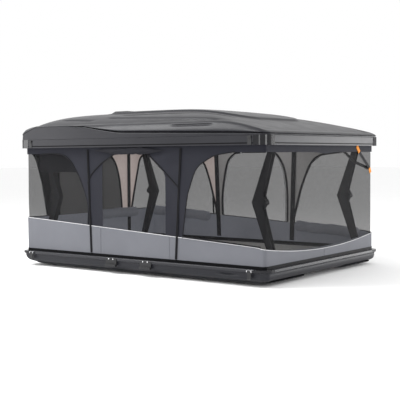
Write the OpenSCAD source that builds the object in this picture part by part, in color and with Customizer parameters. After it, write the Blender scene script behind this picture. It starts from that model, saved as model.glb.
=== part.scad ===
// Hard-shell roof top tent, standing open on its four folding corner arms.
// +X is the rear end, -Y the left (door) side, +Z up; the origin lies under the middle of the base.

/* [Shell] */
// Length of the base and lid
shell_l = 1980; // [1800:10:2200]
// Width of the base and lid
shell_w = 1400; // [1300:10:1600]
// Corner radius of the base and lid in plan
corner_r = 50; // [46:2:64]
// How far the corner caps stand proud of the side profiles
cap_proud = 1.5; // [0.5:0.5:4]
// How far a corner cap reaches along each side beyond the corner's arc
cap_leg = 36; // [20:1:40]

/* [Base] */
// Height of the base rim's top face above the ground
base_h = 98; // [90:1:120]
// Depth of the two hull pontoons below the tray
pontoon_h = 22; // [16:1:30]
// Half width of the channel between the pontoons
channel_half = 205; // [150:5:260]
// Wall of the moulded tray
tray_wall = 5; // [4:0.5:8]
// Height of the aluminium rim profile
rim_h = 16; // [12:1:24]
// Width of the rim's inward flange
rim_flange = 38; // [34:1:44]
// Height of the rubber seal on the rim
seal_h = 17; // [12:1:18]
// Thickness of the floor panel
floor_t = 8; // [5:0.5:8]
// Thickness of the mattress at its crown
mattress_t = 63; // [40:1:70]

/* [Roof rails] */
// Length of a mounting rail
rail_l = 1500; // [1200:10:1700]
// Width of a mounting rail
rail_w = 44; // [36:1:60]
// Wall of a mounting rail
rail_wall = 3; // [2:0.5:5]
// Distance between the two rails, middle to middle
rail_spacing = 300; // [200:10:320]
// Distance between the bolt holes along a rail
bolt_spacing = 800; // [600:10:1100]
// Radius of a bolt hole for an M8 bolt
bolt_hole_r = 4.5; // [4:0.25:6]

/* [Lift arms] */
// How far the lid rises
travel = 690; // [600:5:720]
// Distance of the arms' pivots from the shell's ends
arm_in = 60; // [58:1:90]
// Distance of the arms from the shell's long sides
arm_side_in = 184; // [160:1:220]
// How far the elbows lean inwards when the tent is open
elbow_in = 66; // [50:1:80]
// Height between the bottom and top pivots when the tent is closed
closed_gap = 31; // [31:1:40]
// Thickness of an arm
arm_t = 36; // [30:1:44]
// Sheet that an arm is folded from
arm_sheet = 3; // [2:0.5:4]
// Depth of an arm's mitred end, from the elbow pin to its outer corner
mitre_w = 81; // [70:1:84]
// Radius of the eyes at an arm's ends
eye_r = 15; // [12:0.5:15]
// Radius of the knuckles at the elbow
knuckle_r = 17; // [14:0.5:19]
// Width of the middle knuckle
knuckle_w = 16; // [12:1:20]
// Radius of the pivot pins
pin_r = 5; // [4:0.5:7]
// Radial clearance of a pin in the piece that turns on it
pin_clear = 0.05; // [0.02:0.01:0.1]
// Plate of the arms' brackets
bracket_t = 4; // [3:0.5:6]

/* [Lid] */
// Gap between the rims when the tent is shut
shut_gap = 2; // [1:0.5:4]
// Height of the lid's aluminium side profile
profile_h = 56; // [50:1:80]
// Wall of the side profile
profile_wall = 4; // [3:0.5:5]
// Width of the side profile's flanges
profile_flange = 24; // [18:1:27]
// Height of the black strip's groove above the profile's lower edge
strip_z = 8; // [6:1:30]
// Width of the black strip
strip_w = 7; // [5:0.5:10]
// Depth of the black strip's groove
strip_d = 2; // [1:0.25:2.5]
// Wall of the moulded lid
lid_wall = 5; // [4:0.5:7]
// Height of the lid's shoulder along the sides
shoulder_h = 58; // [50:1:90]
// Rise of the crown above the shoulder
crown_h = 133; // [80:1:140]
// Height of the nose at the front edge
nose_h = 21; // [16:1:40]
// Height of the tail at the rear edge
tail_h = 11; // [6:1:20]
// Depth of the crease under the side bulges
crease_d = 11; // [4:1:14]
// Depth of the two long grooves on each side
groove_d = 7; // [4:1:9]
// Height of the raised middle deck
deck_h = 12; // [6:1:20]
// Length of the vent housing
vent_l = 150; // [120:5:200]
// Width of the vent housing
vent_w = 170; // [140:5:260]
// Height of the vent housing above the crown
vent_h = 20; // [14:1:36]

/* [Fabric] */
// Inset of the canvas walls from the shell's edge
wall_in = 30; // [29:0.5:32]
// Thickness of the canvas
canvas_t = 1.2; // [0.8:0.1:1.5]
// Height of the grey band's top edge at the front end
band_front = 325; // [260:5:380]
// Height of the grey band's top edge at the rear corners
band_rear = 215; // [190:5:260]
// Height of the grey band's top edge in the middle of the rear end
band_dip = 163; // [150:1:180]
// Depth of the valance below the lid's edge
valance_h = 40; // [24:1:50]
// Half width of the door's canvas column at the grey band
column_half = 386; // [340:2:420]
// Half width of the door opening
door_half = 256; // [220:2:300]
// Width of a zip's tape
zip_w = 12; // [8:1:16]

/* [Latches] */
// Distance of the latches from the shell's ends
latch_in = 110; // [100:5:130]
// Width of a latch lever
latch_w = 24; // [18:1:30]
// Length of a latch lever below its pin
latch_l = 46; // [36:1:52]
// Radius of a latch pin
latch_pin_r = 2.5; // [2:0.25:3]

/* [Ladder brackets] */
// Place of the middle between the two brackets, along the tent
ladder_x = -20; // [-100:5:100]
// Distance between the two brackets
ladder_spacing = 281; // [240:1:360]
// Width of a bracket
ladder_w = 88; // [60:1:110]

/* [Hidden] */

$fn = 48;
half_l = shell_l / 2;
half_w = shell_w / 2;
seat_gap = 0.3;
front = -1;
rear = 1;
left = -1;
right = 1;

// Heights of the base, from the ground up
tray_z = pontoon_h;
floor_z = tray_z + tray_wall;
bed_z = floor_z + floor_t;
rim_z = base_h - rim_h;
skirt_z = base_h + seal_h;

// Heights of the lid when the tent is open
lid_z = base_h + shut_gap + travel;
shell_z = lid_z + profile_h;

// The arms' pivots: equal links, so the elbow lies half way up
arm_x = half_l - arm_in;
arm_y = half_w - arm_side_in;
link_rise = (travel + closed_gap) / 2;
pivot_above_rim = 4;
bottom_z = base_h + pivot_above_rim;
elbow_z = bottom_z + link_rise;
top_z = elbow_z + link_rise;
elbow_x = arm_x - elbow_in;
elbow_pin_r = pin_r + 1;
bracket_gap = 0.4;
bracket_in = arm_t / 2 + bracket_gap;
bracket_out = bracket_in + bracket_t;
pin_head = 3;
pin_seat = 0.02;

// Points along one quarter arc, one side and one end of a plan loop
arc_n = 5;
side_n = 14;
end_n = 8;

function edge_points(a, b, n) = [for (k = [1 : n - 1]) a + (b - a) * k / n];
function arc_points(c, r, start) =
    [for (k = [0 : arc_n]) c + r * [cos(start + 90 * k / arc_n), sin(start + 90 * k / arc_n)]];

// A rounded rectangle with half sides hx and hy, anticlockwise from the middle of the rear end
function loop(hx, hy, r) = concat(
    edge_points([hx, r - hy], [hx, hy - r], end_n), arc_points([hx - r, hy - r], r, 0),
    edge_points([hx - r, hy], [r - hx, hy], side_n), arc_points([r - hx, hy - r], r, 90),
    edge_points([-hx, hy - r], [-hx, r - hy], end_n), arc_points([r - hx, r - hy], r, 180),
    edge_points([r - hx, -hy], [hx - r, -hy], side_n), arc_points([hx - r, r - hy], r, 270));

// The shell's plan outline, moved in by an inset; its corners open out towards the middle
function inset_r(inset) = min(max(corner_r - inset, 30) + 0.35 * inset, half_w - inset - 1);
function plan(inset) = loop(half_l - inset, half_w - inset, inset_r(inset));

// A closed skin over rings of equal length, capped at both ends; the quads' diagonals can run the other way
module skin(rings, other_way = false) {
    n = len(rings[0]);
    m = len(rings);
    centres = [for (ring = [rings[0], rings[m - 1]]) [for (k = [0 : 2]) mean([for (p = ring) p[k]])]];
    points = concat([for (ring = rings) each ring], centres);
    walls = [for (i = [0 : m - 2]) for (j = [0 : n - 1])
        let (k = (j + 1) % n, a = i * n + j, b = i * n + k, c = (i + 1) * n + k, d = (i + 1) * n + j)
            each other_way ? [[a, d, b], [d, c, b]] : [[a, d, c], [a, c, b]]];
    bottom = [for (j = [0 : n - 1]) [m * n, j, (j + 1) % n]];
    top = [for (j = [0 : n - 1]) [m * n + 1, (m - 1) * n + (j + 1) % n, (m - 1) * n + j]];
    polyhedron(points, concat(walls, bottom, top));
}
function total(v, i = 0) = i < len(v) ? v[i] + total(v, i + 1) : 0;
function mean(v) = total(v) / len(v);

function smooth(t) = let (c = min(max(t, 0), 1)) c * c * (3 - 2 * c);
function bell(t) = exp(-t * t);
function soft_min(a, b, k) = -k * ln(exp(-a / k) + exp(-b / k));

// A straight run of one side of the shell's outline, its section drawn as [inset, height]
module side_run(across, from = corner_r - half_l, to = half_l - corner_r) {
    translate([from, across * half_w, 0])
        rotate([90, 0, 90])
            linear_extrude(to - from)
                mirror([across > 0 ? 1 : 0, 0])
                    children();
}

// A straight run of one end of the shell's outline with the same kind of section
module end_run(along, from = corner_r - half_w, to = half_w - corner_r) {
    translate([along * half_l, to, 0])
        rotate([90, 0, 0])
            linear_extrude(to - from)
                mirror([along > 0 ? 1 : 0, 0])
                    children();
}

// One corner of the shell's outline, the section turned about the corner's centre
module corner_run(along, across) {
    translate([along * (half_l - corner_r), across * (half_w - corner_r), 0])
        mirror([along < 0 ? 1 : 0, 0, 0])
            mirror([0, across < 0 ? 1 : 0, 0])
                rotate_extrude(angle = 90)
                    translate([corner_r, 0])
                        mirror([1, 0])
                            children();
}

// A corner cap: the arc with a leg along the side and one along the end
module cap_run(along, across) {
    x = half_l - corner_r;
    y = half_w - corner_r;
    corner_run(along, across) children();
    side_run(across, along > 0 ? x - cap_leg : -x, along > 0 ? x : cap_leg - x) children();
    end_run(along, across > 0 ? y - cap_leg : -y, across > 0 ? y : cap_leg - y) children();
}

// The straight profile between the caps of one side or one end
module side_profile(across) {
    reach = half_l - corner_r - cap_leg;
    side_run(across, -reach, reach) children();
}

module end_profile(along) {
    reach = half_w - corner_r - cap_leg;
    end_run(along, -reach, reach) children();
}

module ring_run() {
    for (s = [-1, 1]) {
        side_run(s) children();
        end_run(s) children();
        for (t = [-1, 1])
            corner_run(s, t) children();
    }
}

// A rectangle in a section, from inset a to b and height z0 to z1
module strip(a, b, z0, z1) {
    translate([a, z0])
        square([b - a, z1 - z0]);
}

// A plate cut to an outline in the XZ plane, centred on y
module xz_plate(y, t) {
    translate([0, y, 0])
        rotate([90, 0, 0])
            linear_extrude(t, center = true)
                children();
}

// A plate cut to an outline in the YZ plane, centred on x
module yz_plate(x, t) {
    translate([x, 0, 0])
        rotate([90, 0, 90])
            linear_extrude(t, center = true)
                children();
}

// A round bar along Y
module y_bar(x, y, z, r, l) {
    translate([x, y, z])
        rotate([90, 0, 0])
            cylinder(h = l, r = r, center = true);
}

module at_arm(along, across) {
    translate([0, across * arm_y, 0])
        mirror([along < 0 ? 1 : 0, 0, 0])
            children();
}

module each_arm() {
    for (along = [front, rear])
        for (across = [left, right])
            at_arm(along, across) children();
}

// Base: a moulded tray with a rising bow and two hull pontoons below it
bow_in = 46;
bow_from = 700;
tray_outer = [[0, 1], [8, 0.92], [10, 0.6], [16, 0.3], [34, 0.08], [56, 0]];
tray_inner = [[6, 1], [14, 0.9], [16, 0.6], [22, 0.35], [40, 0.12], [62, 0]];

function bow(p, share) = let (reach = smooth((-p[0] - bow_from) / (half_l - bow_from)))
    [p[0] + bow_in * reach * pow(1 - share, 2), p[1]];
function tray_ring(inset, share, foot) =
    let (z = foot + (rim_z - foot) * share) [for (p = plan(inset)) [each bow(p, share), z]];

// A pontoon's outline: its foot at share 0, its widest at share 1, drawn in by a wall
pontoon_end_in = 25;
pontoon_side_in = 40;
pontoon_r = 60;
side_flank = 85;
end_flank = 110;

function pontoon_ring(across, share, wall, z) =
    let (hx = half_l - pontoon_end_in - end_flank * (1 - share) - wall,
        half = (half_w - pontoon_side_in - channel_half) / 2,
        hy = half - side_flank * (1 - share) - wall)
    [for (p = loop(hx, hy, pontoon_r - wall))
        [p[0] + (p[0] < 0 ? bow_in * (2 - share) : 0), across * (channel_half + half) + p[1], z]];

module pontoon(across) {
    rise = 2;
    skin([pontoon_ring(across, 0, 0, 0), pontoon_ring(across, 1, 0, tray_z + rise)]);
}

// The hollow of a pontoon, open upwards under the floor panel
module pontoon_hollow(across) {
    skin([for (z = [tray_wall, floor_z + 1]) pontoon_ring(across, 0, tray_wall, z)]);
}

module base_shell() {
    outer = [for (k = [len(tray_outer) - 1 : -1 : 0]) tray_outer[k]];
    color([0.16, 0.165, 0.17])
        difference() {
            union() {
                skin(concat(
                    [for (s = outer) tray_ring(s[0], s[1], tray_z)],
                    [for (s = tray_inner) tray_ring(s[0], s[1], floor_z)]));
                pontoon(left);
                pontoon(right);
            }
            pontoon_hollow(left);
            pontoon_hollow(right);
        }
}

module base_rim() {
    lip = 5;
    color([0.2, 0.205, 0.21])
        for (s = [-1, 1]) {
            side_profile(s) rim_section(lip);
            end_profile(s) rim_section(lip);
        }
}

module rim_section(lip) {
    chamfer = 2;
    polygon([[0, rim_z], [0, base_h - chamfer], [chamfer, base_h], [rim_flange, base_h],
        [rim_flange, base_h - lip], [lip, base_h - lip], [lip, rim_z]]);
}

module base_corner_caps() {
    lip = 6;
    color([0.12, 0.12, 0.125])
        for (s = [-1, 1])
            for (t = [-1, 1])
                cap_run(s, t)
                    polygon([[-cap_proud, rim_z], [-cap_proud, base_h], [rim_flange, base_h],
                        [rim_flange, base_h - lip], [lip, base_h - lip], [lip, rim_z]]);
}

module base_seal() {
    lip_w = 3;
    lip_h = 6;
    from = wall_in - 3.5;
    to = wall_in + 5;
    color([0.03, 0.03, 0.032])
        ring_run() {
            polygon([[from, base_h], [from, skirt_z], [to, skirt_z], [to, base_h],
                [to - lip_w, base_h], [to - lip_w, base_h + lip_h], [from + lip_w, base_h + lip_h],
                [from + lip_w, base_h]]);
        }
}

module floor_panel() {
    edge_gap = 4;
    edge = tray_inner[len(tray_inner) - 1][0] + edge_gap;
    color([0.5, 0.5, 0.48])
        translate([0, 0, floor_z])
            linear_extrude(floor_t)
                polygon([for (p = plan(edge)) bow(p, 0)]);
}

// Mattress: a crowned foam slab with a slot over each folded arm
module mattress() {
    edge_gap = 4;
    slot_gap = 13;
    edge = rim_flange + edge_gap;
    sides = [[12, 0], [4, 0.12], [0, 0.45], [3, 0.75], [14, 0.9], [48, 0.965], [220, 1], [500, 1]];
    slot_half = bracket_out + slot_gap;
    slot_from = arm_x - norm([elbow_in, link_rise]) - knuckle_r - slot_gap;
    color([0.45, 0.45, 0.43])
        difference() {
            skin([for (s = sides)
                let (z = bed_z + seat_gap + mattress_t * s[1],
                    share = min(1, (z - floor_z) / (rim_z - floor_z)))
                    [for (p = plan(edge + s[0])) [each bow(p, share), z]]]);
            each_arm()
                translate([slot_from, -slot_half, bed_z])
                    cube([half_l - slot_from, 2 * slot_half, 2 * mattress_t]);
        }
}

// Mounting rail: a box section between the pontoons, drilled from below
module mounting_rail(across) {
    y = across * rail_spacing / 2;
    color([0.62, 0.63, 0.64])
        difference() {
            translate([-rail_l / 2, y - rail_w / 2, 0])
                cube([rail_l, rail_w, tray_z]);
            translate([-rail_l / 2 - 1, y - rail_w / 2 + rail_wall, rail_wall])
                cube([rail_l + 2, rail_w - 2 * rail_wall, tray_z - 2 * rail_wall]);
            for (s = [-1, 1])
                translate([s * bolt_spacing / 2, y, -1])
                    cylinder(h = rail_wall + 2, r = bolt_hole_r);
        }
}
module mounting_rail_left() { mounting_rail(left); }
module mounting_rail_right() { mounting_rail(right); }

// Lower link at the rear, as the other three mirror it: a channel folded from sheet, open on its outer side
mitre_gap = 0.15;
mitre_plate = 5;
neck = 15;
root_h = 30;

module link_body() {
    corner = [elbow_x - mitre_w, elbow_z - mitre_gap];
    heel = [elbow_x - neck, elbow_z - mitre_gap];
    fold = arm_sheet * norm([arm_x - eye_r - corner[0], link_rise]) / link_rise;
    toe = (arm_x - eye_r - corner[0]) * mitre_plate / link_rise;
    root = (arm_x - eye_r - corner[0]) * (1 - root_h / link_rise);
    open_x = arm_x + 2 * eye_r;
    difference() {
        union() {
            xz_plate(0, arm_t)
                polygon([corner, heel, [arm_x + eye_r, bottom_z], [arm_x - eye_r, bottom_z]]);
            y_bar(arm_x, 0, bottom_z, eye_r, arm_t);
        }
        xz_plate(0, arm_t - 2 * arm_sheet)
            polygon([[corner[0] + fold + toe, corner[1] - mitre_plate], [open_x, corner[1] - mitre_plate],
                [open_x, bottom_z + root_h], [corner[0] + fold + root, bottom_z + root_h]]);
        y_bar(arm_x, 0, bottom_z, pin_r + pin_clear, arm_t + 2);
    }
}

// One knuckle on the elbow pin with the lug that joins it to its link
module knuckle(y, w) {
    lug = 42;
    y_bar(elbow_x, y, elbow_z, knuckle_r, w);
    xz_plate(y, w)
        polygon([[elbow_x, elbow_z - mitre_gap], [elbow_x - neck - 4, elbow_z - mitre_gap],
            [elbow_x - neck - 4, elbow_z - lug], [elbow_x - neck + 8, elbow_z - lug],
            [elbow_x + knuckle_r * cos(20), elbow_z - knuckle_r * sin(20)]]);
}

outer_w = (arm_t - knuckle_w) / 2 - seat_gap;
outer_y = (arm_t - outer_w) / 2;
sweep_r = knuckle_r + 0.5;

module lower_link() {
    color([0.03, 0.03, 0.035])
        difference() {
            union() {
                difference() {
                    link_body();
                    for (s = [-1, 1])
                        y_bar(elbow_x, s * outer_y, elbow_z, sweep_r, outer_w + 2 * seat_gap);
                }
                knuckle(0, knuckle_w);
            }
            y_bar(elbow_x, 0, elbow_z, elbow_pin_r + pin_seat, arm_t);
        }
}

module upper_link() {
    color([0.03, 0.03, 0.035])
        translate([0, 0, 2 * elbow_z])
            mirror([0, 0, 1])
                difference() {
                    union() {
                        difference() {
                            link_body();
                            y_bar(elbow_x, 0, elbow_z, sweep_r, knuckle_w + 2 * seat_gap);
                        }
                        for (s = [-1, 1])
                            knuckle(s * outer_y, outer_w);
                    }
                    y_bar(elbow_x, 0, elbow_z, elbow_pin_r + pin_clear, arm_t + 2);
                }
}

module elbow_pin() {
    head_r = 9;
    color([0.1, 0.1, 0.105]) {
        y_bar(elbow_x, 0, elbow_z, elbow_pin_r, arm_t + 2 * seat_gap);
        for (s = [-1, 1])
            y_bar(elbow_x, s * (arm_t / 2 + seat_gap + pin_head / 2), elbow_z, head_r, pin_head);
    }
}

// Gas spring inside the lower link, on a cross pin near the root and pushing at the elbow's knuckle
module gas_spring() {
    tube_r = 8;
    rod_r = 4;
    foot = [arm_x - 18, bottom_z + 62];
    head = [elbow_x - 30, elbow_z - 34];
    run = head - foot;
    length = norm(run);
    lean = atan2(run[0], run[1]);
    rod_l = 96;
    color([0.06, 0.06, 0.065]) {
        translate([foot[0], 0, foot[1]])
            rotate([0, lean, 0]) {
                cylinder(h = length - rod_l, r = tube_r);
                cylinder(h = length, r = rod_r);
            }
        y_bar(foot[0], 0, foot[1], tube_r, arm_t - 2 * arm_sheet - 2 * seat_gap);
        y_bar(head[0], 0, head[1], tube_r, arm_t - 2 * arm_sheet - 2 * seat_gap);
    }
}

module lower_arm_front_left() { at_arm(front, left) lower_link(); }
module lower_arm_front_right() { at_arm(front, right) lower_link(); }
module lower_arm_rear_left() { at_arm(rear, left) lower_link(); }
module lower_arm_rear_right() { at_arm(rear, right) lower_link(); }
module upper_arm_front_left() { at_arm(front, left) upper_link(); }
module upper_arm_front_right() { at_arm(front, right) upper_link(); }
module upper_arm_rear_left() { at_arm(rear, left) upper_link(); }
module upper_arm_rear_right() { at_arm(rear, right) upper_link(); }
module elbow_pin_front_left() { at_arm(front, left) elbow_pin(); }
module elbow_pin_front_right() { at_arm(front, right) elbow_pin(); }
module elbow_pin_rear_left() { at_arm(rear, left) elbow_pin(); }
module elbow_pin_rear_right() { at_arm(rear, right) elbow_pin(); }
module gas_spring_front_left() { at_arm(front, left) gas_spring(); }
module gas_spring_front_right() { at_arm(front, right) gas_spring(); }
module gas_spring_rear_left() { at_arm(rear, left) gas_spring(); }
module gas_spring_rear_right() { at_arm(rear, right) gas_spring(); }

// Brackets: a foot plate on the floor with two cheeks beside each arm
cheek_r = 12;

module arm_base_brackets() {
    foot_l = 60;
    heel_in = 40;
    heel = arm_x - heel_in;
    color([0.1, 0.1, 0.105])
        each_arm() {
            translate([heel - foot_l, -bracket_out, bed_z])
                cube([foot_l, 2 * bracket_out, bracket_t]);
            for (s = [-1, 1])
                difference() {
                    union() {
                        xz_plate(s * (bracket_in + bracket_t / 2), bracket_t)
                            polygon([[heel - foot_l, bed_z + bracket_t / 2], [heel, bed_z + bracket_t / 2],
                                [arm_x + cheek_r, bottom_z], [arm_x - cheek_r, bottom_z]]);
                        y_bar(arm_x, s * (bracket_in + bracket_t / 2), bottom_z, cheek_r, bracket_t);
                    }
                    y_bar(arm_x, s * bracket_in, bottom_z, pin_r + pin_seat, 4 * bracket_t);
                }
        }
}

module pivot_pin(z) {
    head_r = 8;
    y_bar(arm_x, 0, z, pin_r, 2 * (bracket_out + seat_gap));
    for (s = [-1, 1])
        y_bar(arm_x, s * (bracket_out + seat_gap + pin_head / 2), z, head_r, pin_head);
}

module base_pivot_pins() {
    color([0.55, 0.55, 0.56])
        each_arm() pivot_pin(bottom_z);
}

module lid_pivot_pins() {
    color([0.55, 0.55, 0.56])
        each_arm() pivot_pin(top_z);
}

// Lid brackets: a back plate on the end profile with two cheeks beside each arm
module lid_brackets() {
    back = half_l - profile_wall;
    edge_gap = 2;
    ear = 8;
    root = 12;
    low = lid_z + profile_wall + edge_gap;
    high = shell_z - profile_wall - edge_gap;
    above_seal = skirt_z + travel + 3;
    color([0.1, 0.1, 0.105])
        each_arm() {
            translate([back - bracket_t, -bracket_out - ear, low])
                cube([bracket_t, 2 * (bracket_out + ear), high - low]);
            for (s = [-1, 1])
                difference() {
                    union() {
                        xz_plate(s * (bracket_in + bracket_t / 2), bracket_t)
                            polygon([[back - 1, above_seal], [back - 1, high], [back - root, high],
                                [arm_x, top_z + cheek_r], [arm_x, top_z - cheek_r],
                                [back - root, above_seal]]);
                        y_bar(arm_x, s * (bracket_in + bracket_t / 2), top_z, cheek_r, bracket_t);
                    }
                    y_bar(arm_x, s * bracket_in, top_z, pin_r + pin_seat, 4 * bracket_t);
                }
        }
}

// Lid frame: extruded side profiles between moulded corner caps, with a black strip in the groove
module profile_section() {
    chamfer = 2;
    wall = profile_wall;
    z0 = lid_z;
    z1 = shell_z;
    groove = z0 + strip_z;
    polygon([[0, z0], [0, groove], [strip_d, groove], [strip_d, groove + strip_w], [0, groove + strip_w],
        [0, z1 - chamfer], [chamfer, z1], [profile_flange, z1], [profile_flange, z1 - wall],
        [wall, z1 - wall], [wall, z0 + wall], [profile_flange, z0 + wall], [profile_flange, z0]]);
}

profile_colour = [0.24, 0.245, 0.25];
module lid_side_left() { color(profile_colour) side_profile(left) profile_section(); }
module lid_side_right() { color(profile_colour) side_profile(right) profile_section(); }
module lid_end_front() { color(profile_colour) end_profile(front) profile_section(); }
module lid_end_rear() { color(profile_colour) end_profile(rear) profile_section(); }

module lid_corner(along, across) {
    wall = profile_wall + 1;
    color([0.22, 0.225, 0.23])
        cap_run(along, across)
            polygon([[-cap_proud, lid_z], [-cap_proud, shell_z], [profile_flange, shell_z],
                [profile_flange, shell_z - wall], [wall, shell_z - wall], [wall, lid_z + wall],
                [profile_flange, lid_z + wall], [profile_flange, lid_z]]);
}
module lid_corner_front_left() { lid_corner(front, left); }
module lid_corner_front_right() { lid_corner(front, right); }
module lid_corner_rear_left() { lid_corner(rear, left); }
module lid_corner_rear_right() { lid_corner(rear, right); }

module lid_groove_strip() {
    low = lid_z + strip_z;
    lie_back = 0.5;
    color([0.02, 0.02, 0.022])
        for (s = [-1, 1]) {
            side_profile(s) strip(lie_back, strip_d, low, low + strip_w);
            end_profile(s) strip(lie_back, strip_d, low, low + strip_w);
        }
}

// Crown of the lid above the profile: the lowest of the side, nose and tail curves, softly joined
side_reach = 202;
nose_rise = 215;
nose_reach = 118;
nose_drop = 34;
drop_reach = 105;
tail_rise = 253;
tail_reach = 747;
blend = 10;

function side_curve(p) = shoulder_h - nose_drop * exp((-p[0] - half_l) / drop_reach)
    + crown_h * (1 - exp((abs(p[1]) - half_w) / side_reach));
function nose_curve(p) = nose_h + nose_rise * (1 - exp((-p[0] - half_l) / nose_reach));
function tail_curve(p) = tail_h + tail_rise * (1 - exp((p[0] - half_l) / tail_reach));
function end_curve(p) = soft_min(nose_curve(p), tail_curve(p), blend);
function crown(p) = soft_min(side_curve(p), end_curve(p), blend);

// The crease under each side bulge: low along the rear, sweeping up and dying out towards the nose
crease_foot = 8;
crease_slope = 0.023;
crease_turn = -75;
sweep_h = 50;
sweep_l = 386;
sweep_power = 1.3;
crease_top = 86;
crease_tip = 450 - half_l;
crease_fade = 90;
tail_zone = 30;
tail_crease = 0.35;

function sweep(x) = sweep_h * pow(max(crease_turn - x, 0) / sweep_l, sweep_power);
function crease(x) = min(crease_foot + crease_slope * (half_l - x) + sweep(x), crease_top);
function crease_share(p) =
    smooth((p[0] - crease_tip) / crease_fade) * (p[0] > half_l - tail_zone ? tail_crease : 1);
function shoulder_foot(p, top) =
    min(crease(p[0]), (0.5 + 0.35 * crease_share(p)) * top, 0.8 * end_curve(p));

// Long grooves and the raised deck, fading out towards both ends
groove_at = [88, 138];
groove_width = 13;
deck_at = 340;
deck_slope = 20;

// Distances from the front and rear ends where each begins, and the length of its fade
deck_run = [430, 190, 200];
groove_runs = [[450, 230, 260], [530, 350, 240]];

function along_fade(x, run) =
    smooth((x + half_l - run[0]) / run[2]) * smooth((half_l - run[1] - x) / run[2]);
function groove(k, inset, x) =
    groove_d * bell((inset - groove_at[k]) / groove_width) * along_fade(x, groove_runs[k]);
function relief(inset, x) = deck_h * smooth((inset - deck_at) / deck_slope) * along_fade(x, deck_run)
    - groove(0, inset, x) - groove(1, inset, x);

// Wall rings: inset, share of the crease height, share of the shoulder above it, share of the crease's depth
lid_wall_rings = [[0, 0, 0, 0], [3, 0.9, 0, 0], [5, 1, 0, 1], [4, 1, 0.14, 0], [7, 1, 0.42, 0],
    [17, 1, 0.72, 0], [35, 1, 0.91, 0]];
shoulder_in = 60;
lid_crown_rings = concat([shoulder_in], around_groove(0), [mean(groove_at)], around_groove(1), [200, 270],
    [deck_at - 2, deck_at + deck_slope + 2], [for (s = [200, 110, 50]) half_w - s]);

function around_groove(k) = [for (s = [-16, 0, 16]) groove_at[k] + s];

function lid_wall_ring(s) =
    let (ring = plan(s[0]), shoulder = plan(shoulder_in)) [for (k = [0 : len(ring) - 1]) let (
    p = ring[k],
    top = crown(shoulder[k]),
    pull = s[3] * crease_d * crease_share(p),
    q = [p[0] - sign(p[0]) * (abs(p[0]) > half_l - 40 ? pull : 0),
        p[1] - sign(p[1]) * (abs(p[1]) > half_w - 40 ? pull : 0)],
    foot = shoulder_foot(q, top))
    [each q, shell_z + s[1] * foot + s[2] * (top - foot)]];
function lid_crown_ring(inset, lower) =
    [for (p = plan(inset)) [each p, shell_z + crown(p) + relief(inset, p[0]) - lower]];

// Inside of the lid's wall, from the profile up; inside the crown the rings repeat at the wall's depth
lid_inner_rings = [[8, 0, 0, 0], [12, 0.8, 0, 1], [16, 1, 0.3, 0.6], [27, 1, 0.62, 0], [44, 1, 0.85, 0]];
crown_last = len(lid_crown_rings) - 1;

vent_x = 360 - half_l;
vent_gap = 0.4;

module vent_hole(extra) {
    translate([vent_x - vent_l / 2 - extra, -vent_w / 2 - extra, shell_z + shoulder_h])
        cube([vent_l + 2 * extra, vent_w + 2 * extra, 2 * crown_h]);
}

module lid_shell() {
    color([0.25, 0.255, 0.26])
        difference() {
            skin(concat(
                [for (k = [crown_last : -1 : 0]) lid_crown_ring(lid_crown_rings[k], lid_wall)],
                [for (k = [len(lid_inner_rings) - 1 : -1 : 0]) lid_wall_ring(lid_inner_rings[k])],
                [for (s = lid_wall_rings) lid_wall_ring(s)],
                [for (inset = lid_crown_rings) lid_crown_ring(inset, 0)]));
            vent_hole(vent_gap);
        }
}

// Headliner: a foam lining against the inside of the crown
module headliner() {
    lining = 4;
    first = 2;
    top = lid_wall + seat_gap;
    color([0.35, 0.35, 0.34])
        difference() {
            skin(concat(
                [for (k = [crown_last : -1 : first]) lid_crown_ring(lid_crown_rings[k], top + lining)],
                [for (k = [first : crown_last]) lid_crown_ring(lid_crown_rings[k], top)]), other_way = true);
            vent_hole(vent_gap);
        }
}

// Vent housing: a bevelled cowl over the opening in the crown
module roof_vent() {
    bevel = 18;
    sill = 18;
    skirt = 30;
    low = crown([vent_x, vent_w / 2]) - skirt;
    high = crown([vent_x, 0]);
    slab = 2;
    lap = 4;
    top = shell_z + high + vent_h;
    color([0.22, 0.225, 0.23])
        difference() {
            union() {
                translate([vent_x - vent_l / 2, -vent_w / 2, shell_z + low])
                    cube([vent_l, vent_w, high - low]);
                hull() {
                    translate([vent_x - vent_l / 2, -vent_w / 2, shell_z + high - slab])
                        cube([vent_l, vent_w, slab + lap]);
                    translate([vent_x - vent_l / 2 + bevel, -vent_w / 2 + bevel, top - slab])
                        cube([vent_l - 2 * bevel, vent_w - 2 * bevel, slab]);
                }
            }
            translate([vent_x - vent_l / 2 + sill, -vent_w / 2 + sill, shell_z + low - 1])
                cube([vent_l - 2 * sill, vent_w - 2 * sill, high - low]);
        }
}

// Canvas and mesh: tubes round the tent with arched openings
function band_z(x) = band_front + (band_rear - band_front) * (x + half_l) / shell_l;
wall_top = lid_z + 8;
valance_z = lid_z - valance_h;
mesh_t = 0.8;
mesh_in = wall_in + canvas_t + seat_gap;

// Half width of the canvas columns: wide beside the door, slim beside the right wall's middle window; both
// flare out under the valance
column_lean = 60;
column_flare = 230;
flare_power = 9;
column_steps = 16;
window_half = 283;
slim_column = column_half - 46;
arch_steps = 10;

function column_edge(z, across) = let (
    t = max(0, (z - band_rear) / (valance_z - band_rear)),
    foot = across < 0 ? column_half : slim_column)
    foot + (column_half + column_lean - foot) * t * t + column_flare * pow(t, flare_power);

module corner_opening(along, across) {
    low = skirt_z;
    polygon(concat([[along * 2 * half_l, low]], [[along * 2 * half_l, valance_z]],
        [for (k = [column_steps : -1 : 0]) let (z = low + (valance_z - low) * k / column_steps)
            [along * column_edge(z, across), z]]));
}

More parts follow.
